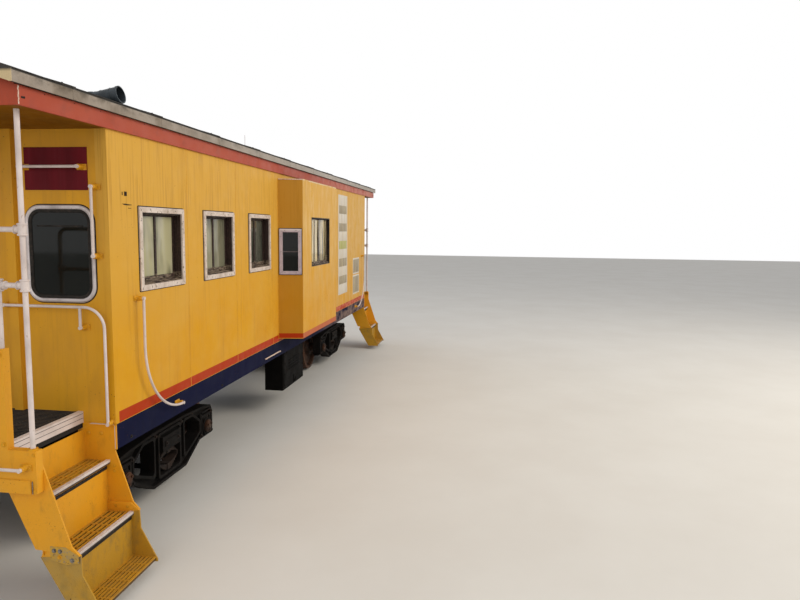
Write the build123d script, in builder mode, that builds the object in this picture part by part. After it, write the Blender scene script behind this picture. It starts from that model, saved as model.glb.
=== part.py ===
from build123d import *
import math
import os

os.makedirs("parts", exist_ok=True)

# All sizes are in mm. X runs along the caboose, Y across it and Z up from the foot of the wheel flanges.
# End "a" is at -X, end "b" at +X. Side "right" is at -Y, side "left" at +Y.

# Wheels and axles
FLANGE_DEPTH = 25
WHEEL_DIAMETER = 838
WHEEL_WIDTH = 140
BACK_TO_BACK = 1360
AXLE_RADIUS = 78
JOURNAL_RADIUS = 65
JOURNAL_CLEARANCE = 0.3
TREAD_TAPER = 1 / 20
TAPE_LINE = 70
RUNNING_GAP = 8

# Trucks
TRUCK_INSET = 1480
TRUCK_WHEELBASE = 1680
FRAME_SPREAD = 2010
FRAME_THICKNESS = 150
FRAME_RIM = 28
FRAME_RECESS = 45
COLUMN_GAP = 420
COLUMN_WIDTH = 110
FRAME_CORNER = 36
FRAME_EDGE = 14
BEARING_RADIUS = 95
BEARING_LENGTH = 170
BEARING_HEADROOM = 15
CENTRE_PLATE_RADIUS = 165
CENTRE_PLATE_HEIGHT = 60
BOWL_CLEARANCE = 3

# Body
BODY_LENGTH = 9800
BODY_WIDTH = 2840
WALL = 100
CORNER_LIP = 12
CORNER_WIDTH = 40
FLOOR_ABOVE_RAIL = 1140
FLOOR_THICKNESS = 40
SILL_HEIGHT = 200
SILL_FLANGE = 60
PLATE = 10
CENTRE_SILL_DEPTH = 340
CENTRE_SILL_WIDTH = 362
CENTRE_SILL_WEB = 16
CENTRE_SILL_FLANGE = 80

# Roof, fascia and platform ceilings
EAVE_ABOVE_RAIL = 3400
FASCIA_HEIGHT = 120
FASCIA_THICKNESS = 20
ROOF_EDGE_HEIGHT = 85
ROOF_RISE = 230
ROOF_THICKNESS = 50
EAVE_OVERHANG = 50
HOOD_LENGTH = 945
HOOD_DRIP = 85
CEILING_THICKNESS = 12
SEAM_COUNT = 10
SEAM_WIDTH = 38
SEAM_RISE = 6

# End platforms
PLATFORM_LENGTH = 840
END_SILL_THICKNESS = 65
END_SILL_HEIGHT = 290
END_SILL_WIDTH = 2720
END_SILL_RISE = 60
END_SILL_BAND = 90
BAND_PROUD = 8
BAND_INSET = 40
DECK_WIDTH = 2280
DECK_DEPTH = 85
GRATE_PITCH = 32
GRATE_BAR = 8
NOSING_WIDTH = 40
NOSING_THICKNESS = 6

# Bays
BAY_FACE = 1860
BAY_SLANT = 70
BAY_DEPTH = 325
BAY_WALL = 70
BAY_RISE = 40
BAY_TOP_GAP = 70

# Windows: width and height are over the outer frame, heights are above the rail
WINDOW_FRAME = 45
WINDOW_PROUD = 15
SASH_WIDTH = 30
SASH_FOOT = 30
SASH_DEPTH = 25
LINING = 8
TRACK = 6
WINDOW_SETBACK = 66
BAY_WINDOW_SETBACK = 40
SLANT_RAIL = 14
GLASS = 6
SIDE_WINDOWS = [  # centre as a share of the half length, width, height, centre above the rail
    (-0.8378, 780, 692, 2492),
    (-0.5924, 770, 692, 2492),
    (-0.3457, 742, 692, 2492),
]
BAY_WINDOW = (0, 1020, 695, 2484)
SLANT_WINDOW = (0, 296, 612, 2362)
END_WINDOW_Y = 1008
END_WINDOW_Z = 2460
END_WINDOW_WIDTH = 560
END_WINDOW_HEIGHT = 726
END_WINDOW_CORNER = 110
END_RING = 36

# End doors
DOOR_WIDTH = 760
DOOR_HEIGHT = 1950
DOOR_THICKNESS = 40
DOOR_GAP = 10
LEAF_SETBACK = 6
HINGE_RADIUS = 9
HINGE_PIN = 5
HINGE_LENGTH = 60
HINGE_SETBACK = 14
HINGE_PLATE = 60
HINGE_PLATE_THICKNESS = 4

# Pipes
RAIL_PIPE = 17
GRAB_PIPE = 11

# Couplers
COUPLER_ABOVE_RAIL = 864
SHANK_WIDTH = 130
SHANK_HEIGHT = 140
HEAD_HEIGHT = 280
COUPLER_SETBACK = 260
COUPLER_PIN = 24

RAIL_TOP = FLANGE_DEPTH
AXLE_Z = RAIL_TOP + WHEEL_DIAMETER / 2
HALF_LENGTH = BODY_LENGTH / 2
TRUCK_SPACING = BODY_LENGTH - 2 * TRUCK_INSET
HALF_WIDTH = BODY_WIDTH / 2
INNER_WIDTH = HALF_WIDTH - WALL
FLOOR_TOP = RAIL_TOP + FLOOR_ABOVE_RAIL
FLOOR_BOTTOM = FLOOR_TOP - FLOOR_THICKNESS
SILL_BOTTOM = FLOOR_TOP - SILL_HEIGHT
CENTRE_SILL_BOTTOM = FLOOR_BOTTOM - CENTRE_SILL_DEPTH
EAVE = RAIL_TOP + EAVE_ABOVE_RAIL
FASCIA_TOP = EAVE + FASCIA_HEIGHT
ROOF_EDGE_TOP = FASCIA_TOP + ROOF_EDGE_HEIGHT
CROWN = ROOF_EDGE_TOP + ROOF_RISE
ROOF_HALF = HALF_WIDTH + EAVE_OVERHANG
ROOF_RADIUS = (ROOF_HALF**2 + ROOF_RISE**2) / (2 * ROOF_RISE)
HOOD_END = HALF_LENGTH + HOOD_LENGTH
ROOF_END = HOOD_END + HOOD_DRIP
SILL_FACE = HALF_LENGTH + PLATFORM_LENGTH
SILL_BACK = SILL_FACE - END_SILL_THICKNESS
COUPLER_PIVOT = SILL_FACE - COUPLER_SETBACK
END_SILL_TOP = FLOOR_TOP + END_SILL_RISE
DECK_TOP = FLOOR_TOP + DECK_DEPTH
COUPLER_Z = RAIL_TOP + COUPLER_ABOVE_RAIL
SIDES = (("right", -1), ("left", 1))
ENDS = (("a", -1), ("b", 1))


def roof_height(y, drop):
    """Height of the roof arch, lowered along its radius by drop, at the distance y from the middle."""
    radius = ROOF_RADIUS - drop
    return CROWN - ROOF_RADIUS + math.sqrt(radius**2 - y**2)


def wall_plane(point, normal):
    """Plane on a wall's outer face: local y is up and local z points out."""
    outward = Vector(*normal)
    return Plane(origin=point, x_dir=Vector(0, 0, 1).cross(outward), z_dir=outward)


def side_windows():
    """Planes and sizes of the windows in the flat body sides."""
    for name, side in SIDES:
        for share, width, height, above_rail in SIDE_WINDOWS:
            point = (share * HALF_LENGTH, side * HALF_WIDTH, RAIL_TOP + above_rail)
            yield wall_plane(point, (0, side, 0)), width, height


def flat_bay_windows():
    """Planes and sizes of the window in each bay's flat face."""
    for name, side in SIDES:
        x, width, height, above_rail = BAY_WINDOW
        point = (x, side * (HALF_WIDTH + BAY_DEPTH), RAIL_TOP + above_rail)
        yield wall_plane(point, (0, side, 0)), width, height


def slanted_bay_windows(side):
    """Planes and sizes of the windows in one bay's two slanted faces."""
    slope = math.hypot(BAY_DEPTH, BAY_SLANT)
    shift, width, height, above_rail = SLANT_WINDOW
    for end in (-1, 1):
        middle = (BAY_FACE + BAY_SLANT) / 2 + shift
        point = (end * middle, side * (HALF_WIDTH + BAY_DEPTH / 2), RAIL_TOP + above_rail)
        yield wall_plane(point, (end * BAY_DEPTH / slope, side * BAY_SLANT / slope, 0)), width, height


# Centre sill: a hat section with outward bottom flanges and the two couplers' pivot pins
with BuildPart() as centre_sill:
    with BuildSketch(Plane.YZ.offset(-SILL_BACK)) as section:
        half = CENTRE_SILL_WIDTH / 2
        with BuildLine():
            Polyline(
                (half, FLOOR_BOTTOM),
                (half, CENTRE_SILL_BOTTOM + CENTRE_SILL_WEB),
                (half + CENTRE_SILL_FLANGE, CENTRE_SILL_BOTTOM + CENTRE_SILL_WEB),
                (half + CENTRE_SILL_FLANGE, CENTRE_SILL_BOTTOM),
                (half - CENTRE_SILL_WEB, CENTRE_SILL_BOTTOM),
                (half - CENTRE_SILL_WEB, FLOOR_BOTTOM - CENTRE_SILL_WEB),
                (0, FLOOR_BOTTOM - CENTRE_SILL_WEB),
                (0, FLOOR_BOTTOM),
                close=True,
            )
        make_face()
        mirror(about=Plane.YZ)
    extrude(amount=2 * SILL_BACK)
    with BuildSketch(Plane.XY.offset(COUPLER_Z - SHANK_HEIGHT / 2 - PLATE)):
        with Locations((-COUPLER_PIVOT, 0), (COUPLER_PIVOT, 0)):
            Circle(COUPLER_PIN)
    extrude(until=Until.NEXT)
centre_sill.part.label = "centre_sill"
export_step(centre_sill.part, "parts/centre_sill.step")

# Side sills: channels with the web outside
with BuildPart() as side_sills:
    with BuildSketch(Plane.YZ.offset(-HALF_LENGTH)):
        for name, side in SIDES:
            with Locations((side * (HALF_WIDTH - SILL_FLANGE / 2), FLOOR_TOP - SILL_HEIGHT / 2)):
                Rectangle(SILL_FLANGE, SILL_HEIGHT)
            with Locations((side * (HALF_WIDTH - PLATE - SILL_FLANGE / 2), FLOOR_TOP - SILL_HEIGHT / 2)):
                Rectangle(SILL_FLANGE, SILL_HEIGHT - 2 * PLATE, mode=Mode.SUBTRACT)
    extrude(amount=BODY_LENGTH)
side_sills.part.label = "side_sills"
export_step(side_sills.part, "parts/side_sills.step")

BOLSTER_WIDTH = 300
BEARER_WIDTH = 140
BEARER_XS = (-2100, -900, 900, 2100)
MEMBER_TIP = 140
COVER = 16
MEMBER_WEB = 20


def cross_member(x, width):
    """One tapered I-section member from side sill to side sill, passing under the centre sill."""
    outer = HALF_WIDTH - PLATE
    inner = CENTRE_SILL_WIDTH / 2
    flange = inner + CENTRE_SILL_FLANGE
    bottom = CENTRE_SILL_BOTTOM - COVER
    with BuildSketch(Plane.YZ.offset(x - width / 2)) as profile:
        with BuildLine():
            Polyline(
                (-outer, FLOOR_BOTTOM),
                (outer, FLOOR_BOTTOM),
                (outer, FLOOR_BOTTOM - MEMBER_TIP),
                (flange, bottom),
                (-flange, bottom),
                (-outer, FLOOR_BOTTOM - MEMBER_TIP),
                close=True,
            )
        make_face()
        with Locations((0, FLOOR_BOTTOM - CENTRE_SILL_DEPTH / 2)):
            Rectangle(2 * inner, CENTRE_SILL_DEPTH, mode=Mode.SUBTRACT)
        with Locations((0, CENTRE_SILL_BOTTOM + CENTRE_SILL_WEB / 2)):
            Rectangle(2 * flange, CENTRE_SILL_WEB, mode=Mode.SUBTRACT)
    extrude(profile.sketch, amount=width)
    pocket = (width - MEMBER_WEB) / 2
    for start in (x - width / 2, x + MEMBER_WEB / 2):
        with BuildSketch(Plane.YZ.offset(start)) as recess:
            for side in (-1, 1):
                with BuildLine():
                    Polyline(
                        (side * (outer - COVER), FLOOR_BOTTOM - COVER),
                        (side * (flange + COVER), FLOOR_BOTTOM - COVER),
                        (side * (flange + COVER), bottom + 3 * COVER),
                        (side * (outer - COVER), FLOOR_BOTTOM - MEMBER_TIP + COVER),
                        close=True,
                    )
                make_face()
        extrude(recess.sketch, amount=pocket, mode=Mode.SUBTRACT)


# Body bolsters, each with its centre plate below
with BuildPart() as body_bolsters:
    for name, end in ENDS:
        cross_member(end * TRUCK_SPACING / 2, BOLSTER_WIDTH)
        with BuildSketch(Plane.XY.offset(CENTRE_SILL_BOTTOM - COVER)):
            with Locations((end * TRUCK_SPACING / 2, 0)):
                Circle(CENTRE_PLATE_RADIUS)
        extrude(amount=-CENTRE_PLATE_HEIGHT)
body_bolsters.part.label = "body_bolsters"
export_step(body_bolsters.part, "parts/body_bolsters.step")

with BuildPart() as cross_bearers:
    for x in BEARER_XS:
        cross_member(x, BEARER_WIDTH)
cross_bearers.part.label = "cross_bearers"
export_step(cross_bearers.part, "parts/cross_bearers.step")

# Floor plate between the side sills
with BuildPart() as floor:
    with BuildSketch(Plane.XY.offset(FLOOR_BOTTOM)):
        Rectangle(BODY_LENGTH, 2 * (HALF_WIDTH - SILL_FLANGE))
    extrude(amount=FLOOR_THICKNESS)
floor.part.label = "floor"
export_step(floor.part, "parts/floor.step")

STRIKER_WIDTH = 400
STRIKER_HEIGHT = 270
STRIKER_DEPTH = 55
THROAT_WIDTH = 250
THROAT_HEADROOM = 30
CARRIER_GAP = 0.3
POST_SIZE = 60
POST_WALL = 8
POST_Y = 1130
POST_TOP = RAIL_TOP + 1875

# End sills: channels with the web outside, a band along the foot, the coupler's striker and two angle posts
with BuildPart() as end_sills:
    with BuildSketch(Plane.XY.offset(END_SILL_TOP - END_SILL_HEIGHT)):
        for name, end in ENDS:
            with Locations((end * (SILL_FACE - END_SILL_THICKNESS / 2), 0)):
                Rectangle(END_SILL_THICKNESS, END_SILL_WIDTH)
    extrude(amount=END_SILL_HEIGHT)
    with BuildSketch(Plane.XY.offset(END_SILL_TOP - END_SILL_HEIGHT + PLATE)):
        for name, end in ENDS:
            with Locations((end * (SILL_BACK + (END_SILL_THICKNESS - PLATE) / 2), 0)):
                Rectangle(END_SILL_THICKNESS - PLATE, END_SILL_WIDTH - 2 * PLATE)
    extrude(amount=END_SILL_HEIGHT - 2 * PLATE, mode=Mode.SUBTRACT)
    with BuildSketch(Plane.XY.offset(END_SILL_TOP - END_SILL_HEIGHT)):
        for name, end in ENDS:
            with Locations((end * (SILL_FACE + BAND_PROUD / 2), 0)):
                Rectangle(BAND_PROUD, END_SILL_WIDTH - 2 * BAND_INSET)
    extrude(amount=END_SILL_BAND)
    with BuildSketch(Plane.XY.offset(COUPLER_Z - STRIKER_HEIGHT / 2)):
        for name, end in ENDS:
            with Locations((end * (SILL_BACK + (END_SILL_THICKNESS + STRIKER_DEPTH) / 2), 0)):
                Rectangle(END_SILL_THICKNESS + STRIKER_DEPTH, STRIKER_WIDTH)
    extrude(amount=STRIKER_HEIGHT)
    with BuildSketch(Plane.XY.offset(COUPLER_Z - SHANK_HEIGHT / 2 - CARRIER_GAP)):
        Rectangle(3 * SILL_FACE, THROAT_WIDTH)
    extrude(amount=SHANK_HEIGHT + CARRIER_GAP + THROAT_HEADROOM, mode=Mode.SUBTRACT)
    with BuildSketch(Plane.XY.offset(END_SILL_TOP)):
        for name, end in ENDS:
            for side in (-1, 1):
                x = end * (SILL_FACE - POST_SIZE / 2)
                y = side * POST_Y
                with Locations((x, y)):
                    Rectangle(POST_SIZE, POST_SIZE)
                with Locations((x - end * POST_WALL, y - side * POST_WALL)):
                    Rectangle(POST_SIZE, POST_SIZE, mode=Mode.SUBTRACT)
    extrude(amount=POST_TOP - END_SILL_TOP)
end_sills.part.label = "end_sills"
export_step(end_sills.part, "parts/end_sills.step")

# Platform decks: a frame of flat bars with a grating of cross bars
deck_length = SILL_BACK - HALF_LENGTH
with BuildPart() as platform_decks:
    with BuildSketch(Plane.XY.offset(FLOOR_BOTTOM)):
        for name, end in ENDS:
            with Locations((end * (HALF_LENGTH + deck_length / 2), 0)):
                Rectangle(deck_length, DECK_WIDTH - 2 * NOSING_THICKNESS)
                Rectangle(deck_length - 2 * PLATE, DECK_WIDTH - 4 * PLATE, mode=Mode.SUBTRACT)
    extrude(amount=FLOOR_THICKNESS + DECK_DEPTH)
    bar_count = int((deck_length - GRATE_PITCH) / GRATE_PITCH)
    with BuildSketch(Plane.XY.offset(DECK_TOP - 3 * GRATE_BAR)):
        for name, end in ENDS:
            with Locations((end * (HALF_LENGTH + deck_length / 2), 0)):
                with GridLocations(GRATE_PITCH, 0, bar_count, 1):
                    Rectangle(GRATE_BAR, DECK_WIDTH - 3 * PLATE)
    extrude(amount=3 * GRATE_BAR)
platform_decks.part.label = "platform_decks"
export_step(platform_decks.part, "parts/platform_decks.step")

# Deck nosings: angles over the side edges of both decks
with BuildPart() as deck_nosings:
    with BuildSketch(Plane.YZ.offset(HALF_LENGTH)):
        for side in (-1, 1):
            with Locations((side * (DECK_WIDTH - NOSING_THICKNESS) / 2, FLOOR_TOP + DECK_DEPTH / 2)):
                Rectangle(NOSING_THICKNESS, DECK_DEPTH)
            with Locations((side * (DECK_WIDTH - NOSING_WIDTH) / 2, DECK_TOP + NOSING_THICKNESS / 2)):
                Rectangle(NOSING_WIDTH, NOSING_THICKNESS)
    extrude(amount=deck_length)
    mirror(about=Plane.YZ)
deck_nosings.part.label = "deck_nosings"
export_step(deck_nosings.part, "parts/deck_nosings.step")

STRINGER = 12
TREAD_THICKNESS = 28
TREAD_BAR = 16
TREAD_STRAPS = 7
NOSING_BAR = 30
NOSING_LIP = 24
GUSSET_Y = 1200
GUSSET_LIP = 28
STEPS = [  # tread top above the rail, back edge and nose from the middle, number of bars, top of its riser
    (850, 1146, 1360, 6, 1090),
    (450, 1326, 1552, 6, 805),
    (95, 1533, 1728, 7, 415),
]
UPPER_STEPS = STEPS[:2]
STRINGER_FRONT = [(1335, FLOOR_ABOVE_RAIL), (1543, 525), (1600, 465)]
STRINGER_BACK = [
    (1275, 490),
    (1096, 880),
    (1096, FLOOR_ABOVE_RAIL - FLOOR_THICKNESS),
    (DECK_WIDTH / 2, FLOOR_ABOVE_RAIL - FLOOR_THICKNESS),
    (DECK_WIDTH / 2, FLOOR_ABOVE_RAIL),
]
LOWER_FRONT = [(1600, 465), (1606, 320), (1740, 75), (1740, 55)]
LOWER_BACK = [(1520, 55), (1300, 430)]


def step_ends(end, inset_x):
    """Planes of the two stringers of one end's steps, and the way each one's thickness runs."""
    yield Plane.YZ.offset(end * (HALF_LENGTH + inset_x)), end
    yield Plane.YZ.offset(end * (SILL_BACK - inset_x)), -end


def stringer_outline(side, points):
    """A stringer's outline from points given as distance from the middle and height above the rail."""
    with BuildLine() as outline:
        Polyline([(side * y, RAIL_TOP + z) for y, z in points], close=True)
    make_face(outline.edges())


# Upper step frames: two stringers, two risers and the corner gusset with its lip at the body
for end_name, end in ENDS:
    with BuildPart() as step_frame:
        for side in (-1, 1):
            for plane, inward in step_ends(end, 0):
                with BuildSketch(plane):
                    stringer_outline(side, STRINGER_FRONT + STRINGER_BACK)
                extrude(amount=inward * STRINGER)
            for top, back, nose, bars, riser_top in UPPER_STEPS:
                with BuildSketch(Plane.YZ.offset(end * HALF_LENGTH)):
                    with Locations((side * (back + STRINGER / 4), RAIL_TOP + (top + riser_top) / 2)):
                        Rectangle(STRINGER / 2, riser_top - top)
                extrude(amount=end * deck_length)
        for low, reach in ((SILL_BOTTOM, STRINGER), (FLOOR_TOP - NOSING_THICKNESS, GUSSET_LIP)):
            with BuildSketch(Plane.YZ.offset(end * HALF_LENGTH)):
                for side in (-1, 1):
                    with Locations((side * (GUSSET_Y + HALF_WIDTH) / 2, (low + FLOOR_TOP) / 2)):
                        Rectangle(HALF_WIDTH - GUSSET_Y, FLOOR_TOP - low)
            extrude(amount=end * reach)
    step_frame.part.label = f"step_frames_{end_name}"
    export_step(step_frame.part, f"parts/step_frames_{end_name}.step")

# Bottom step units, lapped inside the upper stringers
with BuildPart() as lower_steps:
    top, back, nose, bars, riser_top = STEPS[2]
    for name, end in ENDS:
        for side in (-1, 1):
            for plane, inward in step_ends(end, STRINGER):
                with BuildSketch(plane):
                    stringer_outline(side, LOWER_FRONT + LOWER_BACK)
                extrude(amount=inward * STRINGER)
            with BuildSketch(Plane.YZ.offset(end * (HALF_LENGTH + STRINGER))):
                with Locations((side * (back - STRINGER / 4), RAIL_TOP + (top + riser_top) / 2)):
                    Rectangle(STRINGER / 2, riser_top - top)
            extrude(amount=end * (deck_length - 2 * STRINGER))
lower_steps.part.label = "lower_steps"
export_step(lower_steps.part, "parts/lower_steps.step")


def tread_length(step):
    """Length of a tread between its stringers, the bottom units sitting inside the upper ones."""
    return deck_length - (2 if step == UPPER_STEPS[0] else 4) * STRINGER


# Step treads: gratings of long bars crossed by straps
with BuildPart() as step_treads:
    for step in STEPS:
        top, back, nose, bars, riser_top = step
        start = back + STRINGER / 2 if step in UPPER_STEPS else back
        front = nose - NOSING_THICKNESS if step in UPPER_STEPS else nose
        length = tread_length(step)
        with BuildSketch(Plane.XY.offset(RAIL_TOP + top - TREAD_THICKNESS)):
            for name, end in ENDS:
                for side in (-1, 1):
                    with Locations((end * (HALF_LENGTH + deck_length / 2), side * (start + front) / 2)):
                        with GridLocations(0, (front - start - TREAD_BAR) / (bars - 1), 1, bars):
                            Rectangle(length, TREAD_BAR)
                        with GridLocations((length - PLATE) / (TREAD_STRAPS - 1), 0, TREAD_STRAPS, 1):
                            Rectangle(PLATE, front - start)
        extrude(amount=TREAD_THICKNESS)
step_treads.part.label = "step_treads"
export_step(step_treads.part, "parts/step_treads.step")

# Step nosings: angles over the front edges of the upper and middle treads
with BuildPart() as step_nosings:
    for step in UPPER_STEPS:
        top, back, nose, bars, riser_top = step
        for low, height, width in (
            (top, NOSING_THICKNESS, NOSING_BAR),
            (top - NOSING_LIP, NOSING_LIP, NOSING_THICKNESS),
        ):
            with BuildSketch(Plane.XY.offset(RAIL_TOP + low)):
                for name, end in ENDS:
                    for side in (-1, 1):
                        with Locations((end * (HALF_LENGTH + deck_length / 2), side * (nose - width / 2))):
                            Rectangle(tread_length(step), width)
            extrude(amount=height)
step_nosings.part.label = "step_nosings"
export_step(step_nosings.part, "parts/step_nosings.step")

OPENING_MARGIN = 10
WALL_TOP = roof_height(HALF_WIDTH, ROOF_THICKNESS)
BAY_BOTTOM = FLOOR_TOP + BAY_RISE
BAY_TOP = EAVE - BAY_TOP_GAP

# Side walls, each a whole wall thick, with window openings, the opening to the bay and a lip at both corners
for name, side in SIDES:
    with BuildPart() as side_wall:
        with BuildSketch(Plane.XZ.offset(-side * HALF_WIDTH)):
            with Locations((0, (FLOOR_TOP + WALL_TOP) / 2)):
                Rectangle(BODY_LENGTH, WALL_TOP - FLOOR_TOP)
            for share, width, height, above_rail in SIDE_WINDOWS:
                with Locations((share * HALF_LENGTH, RAIL_TOP + above_rail)):
                    Rectangle(
                        width - 2 * WINDOW_FRAME + 2 * OPENING_MARGIN,
                        height - 2 * WINDOW_FRAME + 2 * OPENING_MARGIN,
                        mode=Mode.SUBTRACT,
                    )
            with Locations((0, (BAY_BOTTOM + BAY_TOP) / 2)):
                Rectangle(
                    BAY_FACE - 2 * BAY_WALL, BAY_TOP - BAY_BOTTOM - 2 * BAY_WALL, mode=Mode.SUBTRACT
                )
        extrude(amount=side * WALL)
        with BuildSketch(Plane.XY.offset(FLOOR_TOP)):
            for end_name, end in ENDS:
                corner = (end * (HALF_LENGTH + CORNER_LIP / 2), side * (HALF_WIDTH - CORNER_WIDTH / 2))
                with Locations(corner):
                    Rectangle(CORNER_LIP, CORNER_WIDTH)
        extrude(amount=EAVE - FLOOR_TOP)
    side_wall.part.label = f"side_wall_{name}"
    export_step(side_wall.part, f"parts/side_wall_{name}.step")

# Bays: trapezoid boxes open to the cabin, with a window in each of the three faces
for name, side in SIDES:
    with BuildPart() as bay:
        with BuildSketch(Plane.XY.offset(BAY_BOTTOM)):
            with BuildLine():
                Polyline(
                    (-BAY_FACE / 2 - BAY_SLANT, side * HALF_WIDTH),
                    (-BAY_FACE / 2, side * (HALF_WIDTH + BAY_DEPTH)),
                    (BAY_FACE / 2, side * (HALF_WIDTH + BAY_DEPTH)),
                    (BAY_FACE / 2 + BAY_SLANT, side * HALF_WIDTH),
                    close=True,
                )
            make_face()
        extrude(amount=BAY_TOP - BAY_BOTTOM)
        with BuildSketch(Plane.XY.offset(BAY_BOTTOM + BAY_WALL)):
            with BuildLine():
                Polyline(
                    (-BAY_FACE / 2 - BAY_SLANT + BAY_WALL, side * HALF_WIDTH),
                    (-BAY_FACE / 2 + BAY_WALL, side * (HALF_WIDTH + BAY_DEPTH - BAY_WALL)),
                    (BAY_FACE / 2 - BAY_WALL, side * (HALF_WIDTH + BAY_DEPTH - BAY_WALL)),
                    (BAY_FACE / 2 + BAY_SLANT - BAY_WALL, side * HALF_WIDTH),
                    close=True,
                )
            make_face()
        extrude(amount=BAY_TOP - BAY_BOTTOM - 2 * BAY_WALL, mode=Mode.SUBTRACT)
        for plane, width, height in slanted_bay_windows(side):
            with BuildSketch(plane):
                Rectangle(
                    width - 2 * WINDOW_FRAME + 2 * OPENING_MARGIN,
                    height - 2 * WINDOW_FRAME + 2 * OPENING_MARGIN,
                )
            extrude(amount=-BAY_WALL - OPENING_MARGIN, mode=Mode.SUBTRACT)
        with BuildSketch(Plane.XZ.offset(-side * (HALF_WIDTH + BAY_DEPTH))):
            with Locations((BAY_WINDOW[0], RAIL_TOP + BAY_WINDOW[3])):
                Rectangle(BAY_WINDOW[1], BAY_WINDOW[2])
        extrude(amount=side * BAY_WALL, mode=Mode.SUBTRACT)
    bay.part.label = f"bay_{name}"
    export_step(bay.part, f"parts/bay_{name}.step")

RIB_Y = 618
RIB_WIDTH = 75
RIB_PROUD = 40
DOOR_BOTTOM = DECK_TOP + DOOR_GAP
HINGE_X = HALF_LENGTH - WALL - HINGE_SETBACK
HINGE_Y = DOOR_WIDTH / 2 + DOOR_GAP / 2
HINGE_ZS = (DOOR_BOTTOM + 250, DOOR_BOTTOM + 980, DOOR_BOTTOM + 1700)
KNUCKLE_GAP = 0.5
HINGE_ARM = 24
HINGE_ROOT = 12

# End walls with the door opening, two round-cornered windows and two stiffening posts
for end_name, end in ENDS:
    with BuildPart() as end_wall:
        with BuildSketch(Plane.YZ.offset(end * HALF_LENGTH)):
            with BuildLine():
                edge = roof_height(INNER_WIDTH, ROOF_THICKNESS)
                Line((-INNER_WIDTH, edge), (-INNER_WIDTH, FLOOR_TOP))
                Line((-INNER_WIDTH, FLOOR_TOP), (INNER_WIDTH, FLOOR_TOP))
                Line((INNER_WIDTH, FLOOR_TOP), (INNER_WIDTH, edge))
                ThreePointArc((INNER_WIDTH, edge), (0, CROWN - ROOF_THICKNESS), (-INNER_WIDTH, edge))
            make_face()
            with Locations((0, DOOR_BOTTOM + DOOR_HEIGHT / 2)):
                Rectangle(DOOR_WIDTH, DOOR_HEIGHT + 2 * DOOR_GAP, mode=Mode.SUBTRACT)
            with Locations((-END_WINDOW_Y, RAIL_TOP + END_WINDOW_Z), (END_WINDOW_Y, RAIL_TOP + END_WINDOW_Z)):
                RectangleRounded(
                    END_WINDOW_WIDTH - 2 * OPENING_MARGIN,
                    END_WINDOW_HEIGHT - 2 * OPENING_MARGIN,
                    END_WINDOW_CORNER,
                    mode=Mode.SUBTRACT,
                )
        extrude(amount=-end * WALL)
        with BuildSketch(Plane.YZ.offset(end * HALF_LENGTH)):
            with Locations((-RIB_Y, (DECK_TOP + EAVE) / 2), (RIB_Y, (DECK_TOP + EAVE) / 2)):
                Rectangle(RIB_WIDTH, EAVE - DECK_TOP)
        extrude(amount=end * RIB_PROUD)
        for z in HINGE_ZS:
            with BuildSketch(Plane.XY.offset(z - 1.5 * HINGE_LENGTH)):
                plate_x = HALF_LENGTH - WALL - HINGE_PLATE_THICKNESS / 2
                with Locations((end * plate_x, end * (HINGE_Y + HINGE_PLATE / 2))):
                    Rectangle(HINGE_PLATE_THICKNESS, HINGE_PLATE)
            extrude(amount=3 * HINGE_LENGTH)
            for low in (z - 1.5 * HINGE_LENGTH, z + HINGE_LENGTH / 2 + KNUCKLE_GAP):
                with BuildSketch(Plane.XY.offset(low)):
                    with Locations((end * HINGE_X, end * HINGE_Y)):
                        Circle(HINGE_RADIUS)
                    with Locations((end * (HINGE_X + HINGE_ROOT / 2), end * (HINGE_Y + HINGE_ROOT / 3))):
                        Rectangle(HINGE_ROOT, 2 * HINGE_ROOT / 3)
                extrude(amount=HINGE_LENGTH - KNUCKLE_GAP)
            with BuildSketch(Plane.XY.offset(z - 1.5 * HINGE_LENGTH)):
                with Locations((end * HINGE_X, end * HINGE_Y)):
                    Circle(HINGE_PIN)
            extrude(amount=3 * HINGE_LENGTH)
    end_wall.part.label = f"end_wall_{end_name}"
    export_step(end_wall.part, f"parts/end_wall_{end_name}.step")

DOOR_WINDOW_WIDTH = 420
DOOR_WINDOW_HEIGHT = 640
DOOR_WINDOW_Z = DOOR_BOTTOM + 1420
DOOR_PANEL_Z = DOOR_BOTTOM + 470
DOOR_REBATE = 12
DOOR_CORNER = 12
PANE_CORNER = 50
LATCH_Z = DOOR_BOTTOM + 950
SPINDLE_Y = DOOR_WIDTH / 2 - 75
SPINDLE_RADIUS = 12
SPINDLE_LENGTH = 40
LEVER_LENGTH = 130
LEVER_WIDTH = 22
LEVER_THICKNESS = 14
LEVER_SHIFT = 45

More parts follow.
